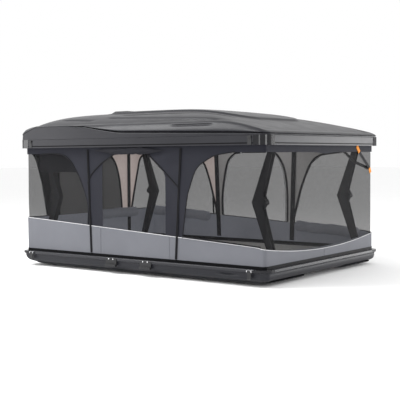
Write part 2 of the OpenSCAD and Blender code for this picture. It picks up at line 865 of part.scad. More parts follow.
// Door opening in the left wall: an arch over its front half, a flap folded back across its rear corner
module door_opening() {
    spring_z = valance_z - 90;
    flap_z = valance_z - 143;
    top_half = 130;
    foot = [[-door_half, band_rear], [door_half, band_rear]];
    polygon(concat(foot, [[door_half, flap_z], [top_half, valance_z]],
        [for (k = [0 : arch_steps]) let (a = 90 * k / arch_steps)
            [-top_half - (door_half - top_half) * sin(a), spring_z + (valance_z - spring_z) * cos(a)]]));
}

// Middle window of the right wall: straight sides under a broad arch
module window_opening() {
    spring_z = valance_z - 330;
    half = [for (k = [0 : arch_steps]) let (t = k / arch_steps)
        [window_half * pow(1 - t * t * t, 0.35), spring_z + (valance_z - spring_z) * t]];
    polygon(concat([[-window_half, band_rear], [window_half, band_rear]], half,
        [for (k = [arch_steps - 1 : -1 : 0]) [-half[k][0], half[k][1]]]));
}

// The two openings of the long walls, each cut through its own side
module side_openings() {
    xz_plate(left * half_w, shell_w) door_opening();
    xz_plate(right * half_w, shell_w) window_opening();
}

// What lies above the grey band's top edge, as seen from the side
module above_band(top) {
    polygon([[-2 * half_l, band_z(-2 * half_l)], [2 * half_l, band_z(2 * half_l)], [2 * half_l, top],
        [-2 * half_l, top]]);
}

// The dip of the band's top edge across the rear end
module rear_dip(top) {
    span = half_w;
    polygon(concat([[span, top], [-span, top]], [for (k = [-10 : 10])
        [span * k / 10, band_dip + (band_rear - band_dip) * k * k / 100]]));
}

module canvas_walls() {
    front_panel = 400;
    color([0.12, 0.125, 0.14])
        difference() {
            ring_run() strip(wall_in, wall_in + canvas_t, skirt_z, wall_top);
            intersection() {
                union() {
                    for (s = [left, right]) {
                        xz_plate(s * half_w, shell_w) corner_opening(rear, s);
                        xz_plate(s * (front_panel + half_w), shell_w) corner_opening(front, s);
                    }
                    side_openings();
                }
                xz_plate(0, 2 * shell_w) above_band(2 * lid_z);
            }
            yz_plate(half_l, 2 * corner_r) rear_dip(band_rear + 1);
        }
}

module mesh_walls() {
    color([0.45, 0.45, 0.45, 0.5])
        ring_run() strip(mesh_in, mesh_in + mesh_t, skirt_z, wall_top);
}

module skirt_band() {
    color([0.5, 0.52, 0.56])
        difference() {
            ring_run() strip(wall_in - canvas_t - seat_gap, wall_in - seat_gap, skirt_z, band_front + 20);
            xz_plate(0, 2 * shell_w) above_band(band_front + 30);
            yz_plate(half_l, 2 * corner_r) rear_dip(band_front + 30);
        }
}

// Zips: tapes up both edges of the door's canvas, on both long sides
module door_zips() {
    lean = 30;
    tape = 1.5;
    out = half_w - wall_in + canvas_t + 2 * seat_gap + tape / 2;
    foot = column_half - 36;
    color([0.02, 0.02, 0.022])
        for (across = [left, right])
            for (s = [-1, 1])
                xz_plate(across * out, tape)
                    polygon([[s * foot, skirt_z], [s * (foot + zip_w), skirt_z],
                        [s * (foot + zip_w + lean), lid_z - 4], [s * (foot + lean), lid_z - 4]]);
}

// Rolled door: canvas bunched and tied under the lid's edge, thicker between its ties
module rolled_door() {
    roll_l = 340;
    roll_r = 11;
    swell = 2.5;
    above = 8;
    color([0.1, 0.105, 0.12])
        translate([0, -(half_w - wall_in + seat_gap + roll_r + swell), valance_z + above])
            cloth_roll(roll_l, roll_r, swell);
}

// A roll of cloth along X, drawn in at its ends and at its ties
module cloth_roll(length, r, swell) {
    steps = 16;
    sides = 12;
    ties = 3;
    skin([for (k = [0 : steps]) let (
        end = 0.55 + 0.45 * min(1, sin(180 * k / steps) * 3),
        reach = (r + swell * cos(360 * ties * k / steps)) * end)
        [for (j = [0 : sides - 1]) let (a = -360 * j / sides)
            [length * (k / steps - 0.5), reach * cos(a), 0.9 * reach * sin(a)]]]);
}

// Window covers rolled down on the band inside the right wall and the front wall
module window_rolls() {
    roll_r = 22;
    swell = 3;
    out = mesh_in + mesh_t + seat_gap + roll_r + swell;
    slope = atan2(band_rear - band_front, shell_l);
    color([0.45, 0.47, 0.52]) {
        for (run = [[-860, -420], [420, 680]])
            translate([mean(run), half_w - out, band_z(mean(run))])
                rotate([0, -slope, 0])
                    cloth_roll(run[1] - run[0], roll_r, swell);
        for (run = [[200, 440]])
            translate([out - half_l, mean(run), band_front])
                rotate([0, 0, 90])
                    cloth_roll(run[1] - run[0], roll_r, swell);
    }
}

// Half-rolled blind inside the front left opening
module window_blind() {
    drop = 118;
    roll_r = 9;
    start = 150;
    length = 340;
    from = start - half_l;
    to = from + length;
    inset = mesh_in + mesh_t + seat_gap + canvas_t / 2;
    color([0.06, 0.065, 0.07]) {
        xz_plate(-(half_w - inset), canvas_t)
            polygon([[from, valance_z - drop], [to, valance_z - drop], [to, wall_top], [from, wall_top]]);
        translate([from, -(half_w - inset - roll_r), valance_z - drop])
            rotate([0, 90, 0])
                cylinder(h = to - from, r = roll_r);
    }
}

// Pull strap at the rear right corner, from under the lid to the wall
module pull_strap() {
    strap_w = 26;
    strap_t = 2;
    top_y = half_w - 300;
    foot_y = half_w - 125;
    top_z = lid_z - 6;
    foot_z = lid_z - 150;
    color([0.05, 0.05, 0.055])
        yz_plate(half_l - wall_in + seat_gap + strap_t / 2, strap_t)
            polygon([[top_y, top_z], [top_y + strap_w, top_z], [foot_y + strap_w, foot_z], [foot_y, foot_z]]);
}

// Latches: levers that hang from pins on the base rim, and the fixed keepers on the lid above them
latch_x = half_l - latch_in;
latch_out = 8.5;
latch_z = base_h - rim_h / 2;
barrel_r = 5;

module at_latch(along, across) {
    translate([along * latch_x, 0, 0])
        mirror([0, across > 0 ? 1 : 0, 0])
            translate([0, -half_w, 0])
                children();
}

module x_bar(y, z, r, l) {
    translate([0, y, z])
        rotate([0, 90, 0])
            cylinder(h = l, r = r, center = true);
}

module latch_lever() {
    lever_t = 5;
    color([0.03, 0.03, 0.032])
        difference() {
            union() {
                x_bar(-latch_out, latch_z, barrel_r, latch_w);
                translate([-latch_w / 2, -latch_out - lever_t / 2, latch_z - latch_l])
                    cube([latch_w, lever_t, latch_l]);
                x_bar(-latch_out - 1, latch_z - latch_l, lever_t / 2 + 1, latch_w);
            }
            x_bar(-latch_out, latch_z, latch_pin_r + pin_clear, latch_w + 2);
        }
}
module latch_front_left() { at_latch(front, left) latch_lever(); }
module latch_front_right() { at_latch(front, right) latch_lever(); }
module latch_rear_left() { at_latch(rear, left) latch_lever(); }
module latch_rear_right() { at_latch(rear, right) latch_lever(); }

module latch_hinge_plates() {
    plate_t = 3;
    ear_t = 4;
    ear_in = latch_w / 2 + 0.4;
    ear_x = ear_in + ear_t / 2;
    color([0.75, 0.75, 0.77])
        for (along = [front, rear])
            for (across = [left, right])
                at_latch(along, across) {
                    translate([-ear_in - ear_t, -plate_t, rim_z + 1])
                        cube([2 * (ear_in + ear_t), plate_t, rim_h - 3]);
                    for (s = [-1, 1])
                        translate([s * ear_x - ear_t / 2, -latch_out - barrel_r, latch_z - barrel_r])
                            cube([ear_t, latch_out + barrel_r, 2 * barrel_r]);
                    x_bar(-latch_out, latch_z, latch_pin_r, 2 * ear_in + ear_t);
                }
}

module lid_keepers() {
    keeper_h = profile_h - 4;
    keeper_w = 26;
    keeper_t = 3;
    hook = 6;
    color([0.04, 0.04, 0.042])
        for (along = [front, rear])
            for (across = [left, right])
                at_latch(along, across) {
                    translate([-keeper_w / 2, -keeper_t, lid_z + 1])
                        cube([keeper_w, keeper_t, keeper_h]);
                    translate([-keeper_w / 2, -keeper_t - hook, lid_z + keeper_h - 12])
                        cube([keeper_w, hook + 1, 8]);
                }
}

// Ladder brackets: hooks on the base rim below the door, each with a bright clip
ladder_plate = 3;

module ladder_bracket(x) {
    t = ladder_plate;
    reach = 14;
    drop = 36;
    lip = 14;
    top = base_h - 3;
    foot = rim_z - drop;
    color([0.03, 0.03, 0.032])
        translate([x - ladder_w / 2, -half_w, 0])
            rotate([90, 0, 90])
                linear_extrude(ladder_w)
                    polygon([[0, top], [-t, top], [-t, foot + t], [t - reach, foot + t],
                        [t - reach, foot + lip], [-reach, foot + lip], [-reach, foot], [0, foot]]);
}
module ladder_bracket_front() { ladder_bracket(ladder_x - ladder_spacing / 2); }
module ladder_bracket_rear() { ladder_bracket(ladder_x + ladder_spacing / 2); }

module ladder_clips() {
    clip_r = 4;
    clip_h = 3;
    clip_spread = 36;
    clip_y = -half_w - ladder_plate;
    clip_z = base_h - 0.4 * rim_h;
    color([0.8, 0.8, 0.82])
        for (s = [-1, 1])
            for (t = [-1, 1])
                translate([ladder_x + (s * ladder_spacing + t * clip_spread) / 2, clip_y, clip_z])
                    rotate([90, 0, 0])
                        cylinder(h = clip_h, r = clip_r);
}

base_shell();
base_rim();
base_corner_caps();
base_seal();
floor_panel();
mattress();
mounting_rail_left();
mounting_rail_right();
arm_base_brackets();
base_pivot_pins();
ladder_bracket_front();
ladder_bracket_rear();
ladder_clips();
latch_hinge_plates();
latch_front_left();
latch_front_right();
latch_rear_left();
latch_rear_right();
lower_arm_front_left();
lower_arm_front_right();
lower_arm_rear_left();
lower_arm_rear_right();
upper_arm_front_left();
upper_arm_front_right();
upper_arm_rear_left();
upper_arm_rear_right();
elbow_pin_front_left();
elbow_pin_front_right();
elbow_pin_rear_left();
elbow_pin_rear_right();
gas_spring_front_left();
gas_spring_front_right();
gas_spring_rear_left();
gas_spring_rear_right();
lid_shell();
lid_side_left();
lid_side_right();
lid_end_front();
lid_end_rear();
lid_corner_front_left();
lid_corner_front_right();
lid_corner_rear_left();
lid_corner_rear_right();
lid_groove_strip();
headliner();
roof_vent();
lid_brackets();
lid_pivot_pins();
lid_keepers();
canvas_walls();
mesh_walls();
skirt_band();
door_zips();
rolled_door();
window_rolls();
window_blind();
pull_strap();
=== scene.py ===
import math

import bpy
import numpy as np
from mathutils import Matrix, Vector


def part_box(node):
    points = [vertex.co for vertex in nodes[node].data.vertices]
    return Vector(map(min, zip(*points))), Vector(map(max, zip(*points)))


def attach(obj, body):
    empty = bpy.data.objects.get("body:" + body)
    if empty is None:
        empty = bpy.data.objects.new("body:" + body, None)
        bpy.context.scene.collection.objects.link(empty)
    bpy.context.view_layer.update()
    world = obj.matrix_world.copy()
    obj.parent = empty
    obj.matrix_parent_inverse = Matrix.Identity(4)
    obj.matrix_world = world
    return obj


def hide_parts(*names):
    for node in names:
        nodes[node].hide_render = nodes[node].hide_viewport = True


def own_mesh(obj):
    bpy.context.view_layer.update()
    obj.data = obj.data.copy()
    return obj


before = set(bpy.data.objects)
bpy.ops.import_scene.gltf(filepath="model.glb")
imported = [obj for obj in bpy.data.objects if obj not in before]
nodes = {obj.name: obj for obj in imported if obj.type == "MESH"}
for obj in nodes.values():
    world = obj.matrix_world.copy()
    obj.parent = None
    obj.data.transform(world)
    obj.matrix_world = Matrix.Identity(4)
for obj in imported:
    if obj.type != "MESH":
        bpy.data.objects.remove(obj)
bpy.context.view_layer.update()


# Camera: stands off the rear left corner, a little below the lid's edge, with a long lens that
# keeps the tent's upright edges nearly parallel.
camera_spot = (3.566, -4.745, 0.7356)
yaw, pitch, roll = (math.radians(a) for a in (36.83, 2.92, -0.41))
ahead = Vector((-math.sin(yaw) * math.cos(pitch), math.cos(yaw) * math.cos(pitch), -math.sin(pitch)))
level = Vector((math.cos(yaw), math.sin(yaw), 0))
above = level.cross(ahead)
camera_x = math.cos(roll) * level + math.sin(roll) * above
camera_y = math.cos(roll) * above - math.sin(roll) * level
turn = Matrix((camera_x, camera_y, -ahead)).transposed().to_4x4()
camera = bpy.data.objects.new("camera", bpy.data.cameras.new("camera"))
camera.data.lens = 79.02
camera.data.sensor_width = 36
camera.matrix_world = Matrix.Translation(camera_spot) @ turn
bpy.context.collection.objects.link(camera)
bpy.context.scene.camera = camera


# Studio: a pale floor in a white surround. Soft boxes and strips of light stand where the lid's
# shoulders, sides and near corner mirror them, a low one behind lights the tail's base, and a
# weak one fills the tent.
class Wire:
    """A value in a shader, on which sums, products and other nodes can be chained."""

    def __init__(self, tree, socket):
        self.tree, self.socket = tree, socket

    def node(self, kind, out=0, settings=(), **sockets):
        """A new node's output; a socket is given by its name, or as i0, i1 and so on."""
        made = self.tree.nodes.new("ShaderNode" + kind)
        for key, value in dict(settings).items():
            setattr(made, key, value)
        for key, value in sockets.items():
            port = made.inputs[int(key[1:]) if key[1:].isdigit() else key.replace("_", " ")]
            if isinstance(value, Wire):
                self.tree.links.new(value.socket, port)
            else:
                port.default_value = value
        return Wire(self.tree, made.outputs[out])

    def maths(self, operation, a, b=0.0):
        return self.node("Math", settings={"operation": operation}, i0=a, i1=b)

    def __add__(self, other):
        return self.maths("ADD", self, other)

    def __radd__(self, other):
        return self.maths("ADD", other, self)

    def __sub__(self, other):
        return self.maths("SUBTRACT", self, other)

    def __rsub__(self, other):
        return self.maths("SUBTRACT", other, self)

    def __mul__(self, other):
        return self.maths("MULTIPLY", self, other)

    def __rmul__(self, other):
        return self.maths("MULTIPLY", other, self)

    def noise(self, scale, detail=2.0):
        return self.node("TexNoise", Vector=self, Scale=scale, Detail=detail)

    def between(self, low, high):
        """The colour that lies this share of the way from low to high."""
        return self.node("Mix", 2, {"data_type": "RGBA"}, i0=self, i6=(*low, 1), i7=(*high, 1))

    def part(self, axis):
        return self.node("SeparateXYZ", axis, Vector=self)

    def bump(self, strength, depth):
        """The normal of a surface with this value as its height."""
        return self.node("Bump", Height=self, Strength=strength, Distance=depth)


def surface(name, **inputs):
    """A new material, its shader and the place on the object in metres; inputs are uniform settings."""
    made = bpy.data.materials.new(name)
    made.use_nodes = True
    tree = made.node_tree
    shader = tree.nodes["Principled BSDF"]
    for key, value in inputs.items():
        shader.inputs[key.replace("_", " ")].default_value = value
    return made, shader, Wire(tree, tree.nodes.new("ShaderNodeTexCoord").outputs["Object"])


def feed(shader, **wires):
    for key, wire in wires.items():
        wire.tree.links.new(wire.socket, shader.inputs[key.replace("_", " ")])


def thing(name, points, faces, finish, sharp=40):
    """A mesh object, smooth but for its edges sharper than an angle in degrees."""
    mesh = bpy.data.meshes.new(name)
    mesh.from_pydata(np.asarray(points, float).reshape(-1, 3).tolist(), [], faces)
    mesh.validate()
    mesh.polygons.foreach_set("use_smooth", [True] * len(mesh.polygons))
    mesh.set_sharp_from_angle(angle=math.radians(sharp))
    mesh.materials.append(finish)
    made = bpy.data.objects.new(name, mesh)
    bpy.context.collection.objects.link(made)
    return made


floor_reach, floor_z = 40, -0.001
floor_ends = (-floor_reach, floor_reach)
pale, shader, place = surface("pale_floor", Roughness=0.9)
feed(shader, Base_Color=place.noise(3.0).between((0.93, 0.93, 0.93), (0.97, 0.97, 0.97)))
floor = thing("floor", [(x, y, floor_z) for y in floor_ends for x in floor_ends], [(0, 1, 3, 2)], pale)

world = bpy.data.worlds.new("studio")
world.use_nodes = True
surround = world.node_tree.nodes["Background"]
surround.inputs["Color"].default_value = (1, 1, 1, 1)
surround.inputs["Strength"].default_value = 1.0
bpy.context.scene.world = world
bpy.context.scene.view_settings.view_transform = "Standard"
near_corner = (0.94, -0.65, 0.8)
for name, spot, aim, width, height, brightness in (
    ("top_box", (-2.3, -2.1, 4.0), (0.1, -0.6, 0.9), 2.6, 2.6, 11.0),
    ("rear_box", (2.88, 4.84, 1.05), (0.99, 0, 0.8), 2.0, 2.0, 5.7),
    ("rear_low", (2.5, 2.6, 0.22), (0.99, 0.2, 0.0), 1.6, 0.4, 24.0),
    ("left_box", (-4.64, -3.73, 1.2), (-0.6, -0.7, 0.7), 2.0, 2.0, 5.5),
    ("inside_fill", (0.0, 0.0, 0.80), (0.0, 0.0, 0.0), 0.8, 1.4, 0.8),
    ("left_strip", (-0.46, -4.45, 0.9), near_corner, 0.8, 1.2, 7.0),
    ("right_strip", (4.52, -2.43, 0.9), near_corner, 1.0, 1.2, 10.0),
):
    lamp = bpy.data.objects.new(name, bpy.data.lights.new(name, "AREA"))
    lamp.data.shape = "RECTANGLE"
    lamp.data.size = width
    lamp.data.size_y = height
    lamp.data.energy = brightness * math.pi * width * height
    lamp.location = spot
    lamp.rotation_euler = (Vector(aim) - Vector(spot)).to_track_quat("-Z", "Y").to_euler()
    lamp.visible_camera = False
    bpy.context.collection.objects.link(lamp)


# Base tray: vacuum-formed black plastic with a rolled chine, a rising bow, two long pontoons and
# a grip pressed in near the tail on both sides; its upper edge is clamped in the rim profile.
def node_corner(node, end):
    """A node's lowest (0) or highest (1) corner, to a tenth of a millimetre."""
    return [round(c, 4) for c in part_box(node)[end]]


half_l, half_w, rim_z = node_corner("base_shell", 1)
tray_z, tray_floor_z = 0.022, 0.027
corner_r, least_corner_r, corner_opening, least_side = 0.050, 0.030, 0.35, 0.001
bow_in, bow_from = 0.046, 0.700
grip_from, grip_to, grip_fade = 0.635, 0.795, 0.03
grip_z, grip_h, grip_depth, grip_reach = 0.061, 0.006, 0.010, 0.070
pontoon_l, pontoon_inner, pontoon_outer, pontoon_r = 0.965, 0.205, 0.660, 0.060
side_flank, end_flank, pontoon_joint = 0.085, 0.110, 0.001


def rounded(half_x, half_y, radius, arc=14, side=72, end=48):
    """Points anticlockwise round a rounded rectangle, equal in count whatever its size."""
    x, y = half_x - radius, half_y - radius

    def run(a, b, n):
        t = np.linspace(0, 1, n + 1)[1:-1, None]
        return np.array(a) * (1 - t) + np.array(b) * t

    def bend(cx, cy, start):
        a = np.radians(start + np.linspace(0, 90, arc + 1))
        return np.c_[cx + radius * np.cos(a), cy + radius * np.sin(a)]

    return np.vstack(
        [
            run((half_x, -y), (half_x, y), end),
            bend(x, y, 0),
            run((x, half_y), (-x, half_y), side),
            bend(-x, y, 90),
            run((-half_x, y), (-half_x, -y), end),
            bend(-x, -y, 180),
            run((-x, -half_y), (x, -half_y), side),
            bend(x, -y, 270),
        ]
    )


def plan(inset):
    """The shell's outline moved in by an inset; its corners open out towards the middle."""
    radius = max(corner_r - inset, least_corner_r) + corner_opening * inset
    return rounded(half_l - inset, half_w - inset, min(radius, half_w - inset - least_side))


def smooth(t):
    t = np.clip(t, 0, 1)
    return t * t * (3 - 2 * t)


def along_fade(x, start, end, fade):
    return smooth((x - start) / fade) * smooth((end - x) / fade)


def spline(points, count):
    """A smooth curve through points, with count points in all."""
    p = np.asarray(points, float)
    p = np.vstack([2 * p[0] - p[1], p, 2 * p[-1] - p[-2]])
    t = np.linspace(0, len(p) - 3, count)
    k = np.minimum(t.astype(int), len(p) - 4)
    u = (t - k)[:, None]
    a, b, c, d = p[k], p[k + 1], p[k + 2], p[k + 3]
    return 0.5 * (2 * b + (c - a) * u + (2 * a - 5 * b + 4 * c - d) * u**2 + (3 * b - a - 3 * c + d) * u**3)


def grid_faces(rows, columns, closed=False):
    """Quads over rows of points; closed joins each row's end to its start."""
    faces = []
    for i in range(rows - 1):
        low, high = i * columns, (i + 1) * columns
        for j in range(columns if closed else columns - 1):
            k = (j + 1) % columns
            faces.append((low + j, low + k, high + k, high + j))
    return faces


def skin(rings, caps=(True, True)):
    """Points and faces over closed rings of equal length, with a fan over either end."""
    rings = [np.asarray(r, float) for r in rings]
    n = len(rings[0])
    faces = grid_faces(len(rings), n, True)
    points = np.vstack(rings)
    for end, ring, base in ((0, rings[0], 0), (1, rings[-1], (len(rings) - 1) * n)):
        if caps[end]:
            points = np.vstack([points, ring.mean(0)])
            hub = len(points) - 1
            fan = [(hub, base + j, base + (j + 1) % n) for j in range(n)]
            faces += fan if end else [f[::-1] for f in fan]
    return points, faces


def together(*parts):
    """Several lots of points and faces as one."""
    points, faces, count = [], [], 0
    for p, f in parts:
        p = np.asarray(p, float).reshape(-1, 3)
        points.append(p)
        faces += [tuple(i + count for i in face) for face in f]
        count += len(p)
    return np.vstack(points), faces


def press_in(p, axis, beyond, depth):
    """Moves the points that lie beyond a distance from the middle inwards by a depth."""
    p[:, axis] -= np.sign(p[:, axis]) * np.where(np.abs(p[:, axis]) > beyond, depth, 0)


def tray_ring(inset, share, foot):
    """One level of the tray, a share of the way up from its foot to the rim."""
    p = plan(inset)
    z = foot + (rim_z - foot) * share
    grip = grip_depth * along_fade(p[:, 0], grip_from, grip_to, grip_fade)
    press_in(p, 1, half_w - grip_reach, grip * math.exp(-(((z - grip_z) / grip_h) ** 2)))
    reach = smooth((-p[:, 0] - bow_from) / (half_l - bow_from))
    x = p[:, 0] + bow_in * reach * (1 - share) ** 3
    return np.c_[x, p[:, 1], np.full(len(p), z)]


def pontoon(across):
    """A float under one side of the tray, swelling from its sole to the tray's underside."""
    half_y = (pontoon_outer - pontoon_inner) / 2
    rings = []
    for k in np.linspace(0, 1, 9):
        swell = np.sin(k * math.pi / 2) ** 0.8
        end, side = pontoon_l - end_flank * (1 - swell), half_y - side_flank * (1 - swell)
        p = rounded(end, side, pontoon_r, 8, 30, 12)
        x = p[:, 0] + np.where(p[:, 0] < 0, bow_in * (2 - swell), 0)
        y = across * (pontoon_inner + half_y) + p[:, 1]
        rings.append(np.c_[x, y, np.full(len(p), k * (tray_z + pontoon_joint))])
    return skin(rings, (True, False))


def moulding(name, dark, light, roughness, shine):
    """Moulded plastic: a fine grain, faint flow marks in its colour and a rub-worn sheen."""
    made, shader, place = surface(name, Specular_IOR_Level=shine)
    flow = place.noise(2.2, 4.0)
    feed(
        shader,
        Base_Color=(flow * 1.6 - 0.3).between(dark, light),
        Roughness=place.noise(9.0, 3.0) * 0.16 + roughness,
        Normal=place.noise(700.0).bump(0.35, 0.0003),
    )
    return made


# each level's inset and share of the height, outside and inside
tray_outer = spline([(0, 1), (0.008, 0.92), (0.010, 0.6), (0.016, 0.3), (0.034, 0.08), (0.056, 0)], 34)
tray_inner = [(0.006, 1), (0.014, 0.9), (0.016, 0.6), (0.022, 0.35), (0.040, 0.12), (0.062, 0)]
tray_rings = [tray_ring(i, min(max(s, 0), 1), tray_z) for i, s in tray_outer[::-1]]
tray_rings += [tray_ring(i, s, tray_floor_z) for i, s in tray_inner]
tray_finish = moulding("tray_plastic", (0.010, 0.0104, 0.014), (0.017, 0.0174, 0.022), 0.34, 0.22)
base_shell = thing("base_tray", *together(skin(tray_rings), pontoon(-1), pontoon(1)), tray_finish)
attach(base_shell, "base")
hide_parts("base_shell")


def coated(name, dark, light, roughness, shine):
    """Powder coat on metal: an orange-peel skin with a little variation in its sheen."""
    made, shader, place = surface(name, Specular_IOR_Level=shine)
    feed(
        shader,
        Base_Color=place.noise(5.0, 3.0).between(dark, light),
        Roughness=place.noise(40.0) * 0.14 + roughness,
        Normal=place.noise(1100.0).bump(0.25, 0.0002),
    )
    return made


def dress(finish, *names):
    """Gives carried-over solids their finish."""
    for name in names:
        nodes[name].data.materials.clear()
        nodes[name].data.materials.append(finish)


rim_finish = coated("rim_paint", (0.016, 0.0165, 0.02), (0.024, 0.0245, 0.029), 0.3, 0.25)
cap_finish = moulding("cap_plastic", (0.008, 0.008, 0.010), (0.013, 0.013, 0.016), 0.1, 0.22)
rubber, shader, place = surface("black_rubber", Specular_IOR_Level=0.06)
feed(
    shader,
    Base_Color=place.noise(30.0).between((0.002, 0.002, 0.0025), (0.005, 0.005, 0.006)),
    Roughness=place.noise(60.0) * 0.2 + 0.5,
    Normal=place.noise(900.0).bump(0.3, 0.0003),
)
dress(rim_finish, "base_rim")
dress(cap_finish, "base_corner_caps")
dress(rubber, "base_seal", "lid_groove_strip")


# Floor and bed: a sealed plywood panel in the tray and a foam mattress in a woven cover, cut
# away over each folded arm.
bed_voxel, bed_softening = 0.012, 6
board, shader, place = surface("floor_board", Specular_IOR_Level=0.3)
ply = place.node("TexWave", Vector=place, Scale=2.0, Distortion=9.0, Detail=3.0)
feed(
    shader,
    Base_Color=ply.between((0.27, 0.2, 0.13), (0.38, 0.3, 0.2)),
    Roughness=place.noise(20.0) * 0.2 + 0.45,
    Normal=ply.bump(0.2, 0.0005),
)
dress(board, "floor_panel")


def woven(name, dark, light, pitch, roughness=0.85):
    """Plain-woven cloth: two crossed sets of threads, slightly crumpled, with fading over the panel."""
    made, shader, place = surface(name, Specular_IOR_Level=0.1, Sheen_Weight=0.06, Sheen_Roughness=0.5)
    x, y, z = (place.part(k) * (math.tau / pitch) for k in range(3))
    weft = z.maths("SINE", z)
    warp = (x + y).maths("SINE", x + y)
    thread = (weft * warp) * 0.5 + 0.5
    fade = place.noise(5.0, 5.0)
    crumple = place.node("Mapping", Vector=place, Rotation=(0.5, 0.5, 0), Scale=(9, 9, 4)).noise(1.0, 3.0)
    feed(
        shader,
        Base_Color=(thread * 0.35 + fade * 0.9 - 0.1).between(dark, light),
        Roughness=fade * 0.15 + roughness - 0.08,
        Normal=(thread * 0.05 + crumple).bump(0.5, 0.006),
    )
    return made


bed_cloth = woven("bed_cloth", (0.48, 0.47, 0.45), (0.62, 0.61, 0.59), 0.003)
mattress = bpy.data.objects.new("mattress_cover", nodes["mattress"].data.copy())
bpy.context.collection.objects.link(mattress)
mattress.data.materials.clear()
mattress.data.materials.append(bed_cloth)
remesh = mattress.modifiers.new("remesh", "REMESH")
remesh.mode = "VOXEL"
remesh.voxel_size = bed_voxel
soften = mattress.modifiers.new("soften", "SMOOTH")
soften.factor = 0.5
soften.iterations = bed_softening
bpy.context.view_layer.update()
settled = bpy.data.meshes.new_from_object(mattress.evaluated_get(bpy.context.evaluated_depsgraph_get()))
mattress.modifiers.clear()
mattress.data = settled
settled.polygons.foreach_set("use_smooth", [True] * len(settled.polygons))
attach(mattress, "base")
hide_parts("mattress")


# Mounting rails, arm brackets, arms and pins: drawn aluminium below, black-coated folded sheet
# for the arms, plated steel for the pins, the ladder's clips and the latches' hinge plates.
def bare_metal(name, colour, roughness):
    """Bright metal with a drawn grain along it."""
    made, shader, place = surface(name, Metallic=1.0)
    grain = place.node("Mapping", Vector=place, Scale=(8, 900, 900)).noise(1.0, 3.0)
    feed(
        shader,
        Base_Color=grain.between([c * 0.85 for c in colour], colour),
        Roughness=grain * 0.18 + roughness,
        Normal=grain.bump(0.12, 0.0002),
    )
    return made


corners = ("front_left", "front_right", "rear_left", "rear_right")
dress(bare_metal("rail_metal", (0.62, 0.63, 0.64), 0.32), "mounting_rail_left", "mounting_rail_right")
arm_finish = coated("arm_paint", (0.005, 0.005, 0.007), (0.010, 0.010, 0.012), 0.5, 0.25)
dress(arm_finish, "arm_base_brackets", "lid_brackets")
for piece in ("lower_arm_", "upper_arm_", "elbow_pin_", "gas_spring_"):
    dress(arm_finish, *[piece + c for c in corners])
plated = bare_metal("plated_steel", (0.72, 0.72, 0.74), 0.22)
dress(plated, "base_pivot_pins", "lid_pivot_pins", "ladder_clips", "latch_hinge_plates")


# Ladder brackets and latches: moulded in black glass-filled plastic; the brackets and levers sit
# on the rim's face, and the levers' keepers on the lid's profiles.
black_plastic = moulding("black_plastic", (0.008, 0.008, 0.009), (0.014, 0.014, 0.016), 0.42, 0.35)
dress(black_plastic, "ladder_bracket_front", "ladder_bracket_rear", "lid_keepers")
dress(black_plastic, *["latch_" + c for c in corners])


# Lid frame: extruded profiles, coated in the lid's grey and joined at the corners by moulded
# caps, which are glossy but for the far rear one, where the plastic is dull.
lid_paint = coated("lid_paint", (0.014, 0.014, 0.0172), (0.020, 0.020, 0.0242), 0.3, 0.17)
dress(lid_paint, "lid_side_left", "lid_side_right", "lid_end_front", "lid_end_rear")
corner_finish = moulding("corner_plastic", (0.004, 0.004, 0.005), (0.007, 0.007, 0.009), 0.06, 0.32)
dull_corner = moulding("dull_corner_plastic", (0.006, 0.006, 0.008), (0.010, 0.010, 0.012), 0.5, 0.06)
for c in corners:
    dress(dull_corner if c == "rear_right" else corner_finish, "lid_corner_" + c)


# Lid crown: one vacuum-formed sheet with a nose, a falling tail, a bulge over a swooping crease
# along each side, long grooves and a raised middle deck; it is clamped on the profiles. The vent's
# black housing stands on it.
shell_z, lid_wall = node_corner("lid_shell", 0)[2], 0.005
nose_foot, nose_rise, nose_reach = 0.021, 0.215, 0.118
tail_foot, tail_rise, tail_reach = 0.011, 0.253, 0.747
shoulder_h, shoulder_fall, shoulder_reach = 0.058, 0.034, 0.105
side_rise, side_reach, ridge_blend = 0.133, 0.202, 0.010
crease_h, crease_slope, crease_top = 0.008, 0.023, 0.086
sweep_h, sweep_from, sweep_l, sweep_power = 0.050, -0.075, 0.386, 1.3
nose_slope, crease_share, crease_drop, end_share = 0.467, 0.93, 0.08, 0.9
deck_h, deck_in, deck_edge = 0.012, 0.340, 0.020
deck_from, deck_to, deck_fade = -0.560, 0.800, 0.200
groove_depth, groove_w, groove_fade = 0.015, 0.011, 0.120
wall_reach, crown_in, crown_end = 0.040, 0.060, 0.690
notch_depth, notch_from, notch_fade = 0.016, -0.540, 0.090
tail_notch, tail_notch_reach = 0.35, 0.030
slot_from, slot_to, slot_fade = 0.310, 0.620, 0.015
slot_h, slot_w, slot_depth = 0.066, 0.006, 0.009
# each groove's inset at its middle, its lean, and where it starts and ends
grooves = ((0.148, 0.143, -0.80, -0.38), (0.122, 0.110, -0.36, 0.66), (0.250, 0.0, -0.30, 0.64))
lid_finish = moulding("lid_plastic", (0.0135, 0.0135, 0.0166), (0.0205, 0.0205, 0.0246), 0.28, 0.17)


def soft_min(a, b, k):
    return -k * np.log(np.exp(-a / k) + np.exp(-b / k))


def ends(p):
    """The crown's height over the profiles, as the nose and the tail alone would give it."""
    nose = nose_foot + nose_rise * (1 - np.exp((-p[:, 0] - half_l) / nose_reach))
    tail = tail_foot + tail_rise * (1 - np.exp((p[:, 0] - half_l) / tail_reach))
    return soft_min(nose, tail, ridge_blend)


def crown(p):
    """The crown's height over the profiles, before its relief."""
    shoulder = shoulder_h - shoulder_fall * np.exp((-p[:, 0] - half_l) / shoulder_reach)
    side = shoulder + side_rise * (1 - np.exp((np.abs(p[:, 1]) - half_w) / side_reach))
    return soft_min(side, ends(p), ridge_blend)


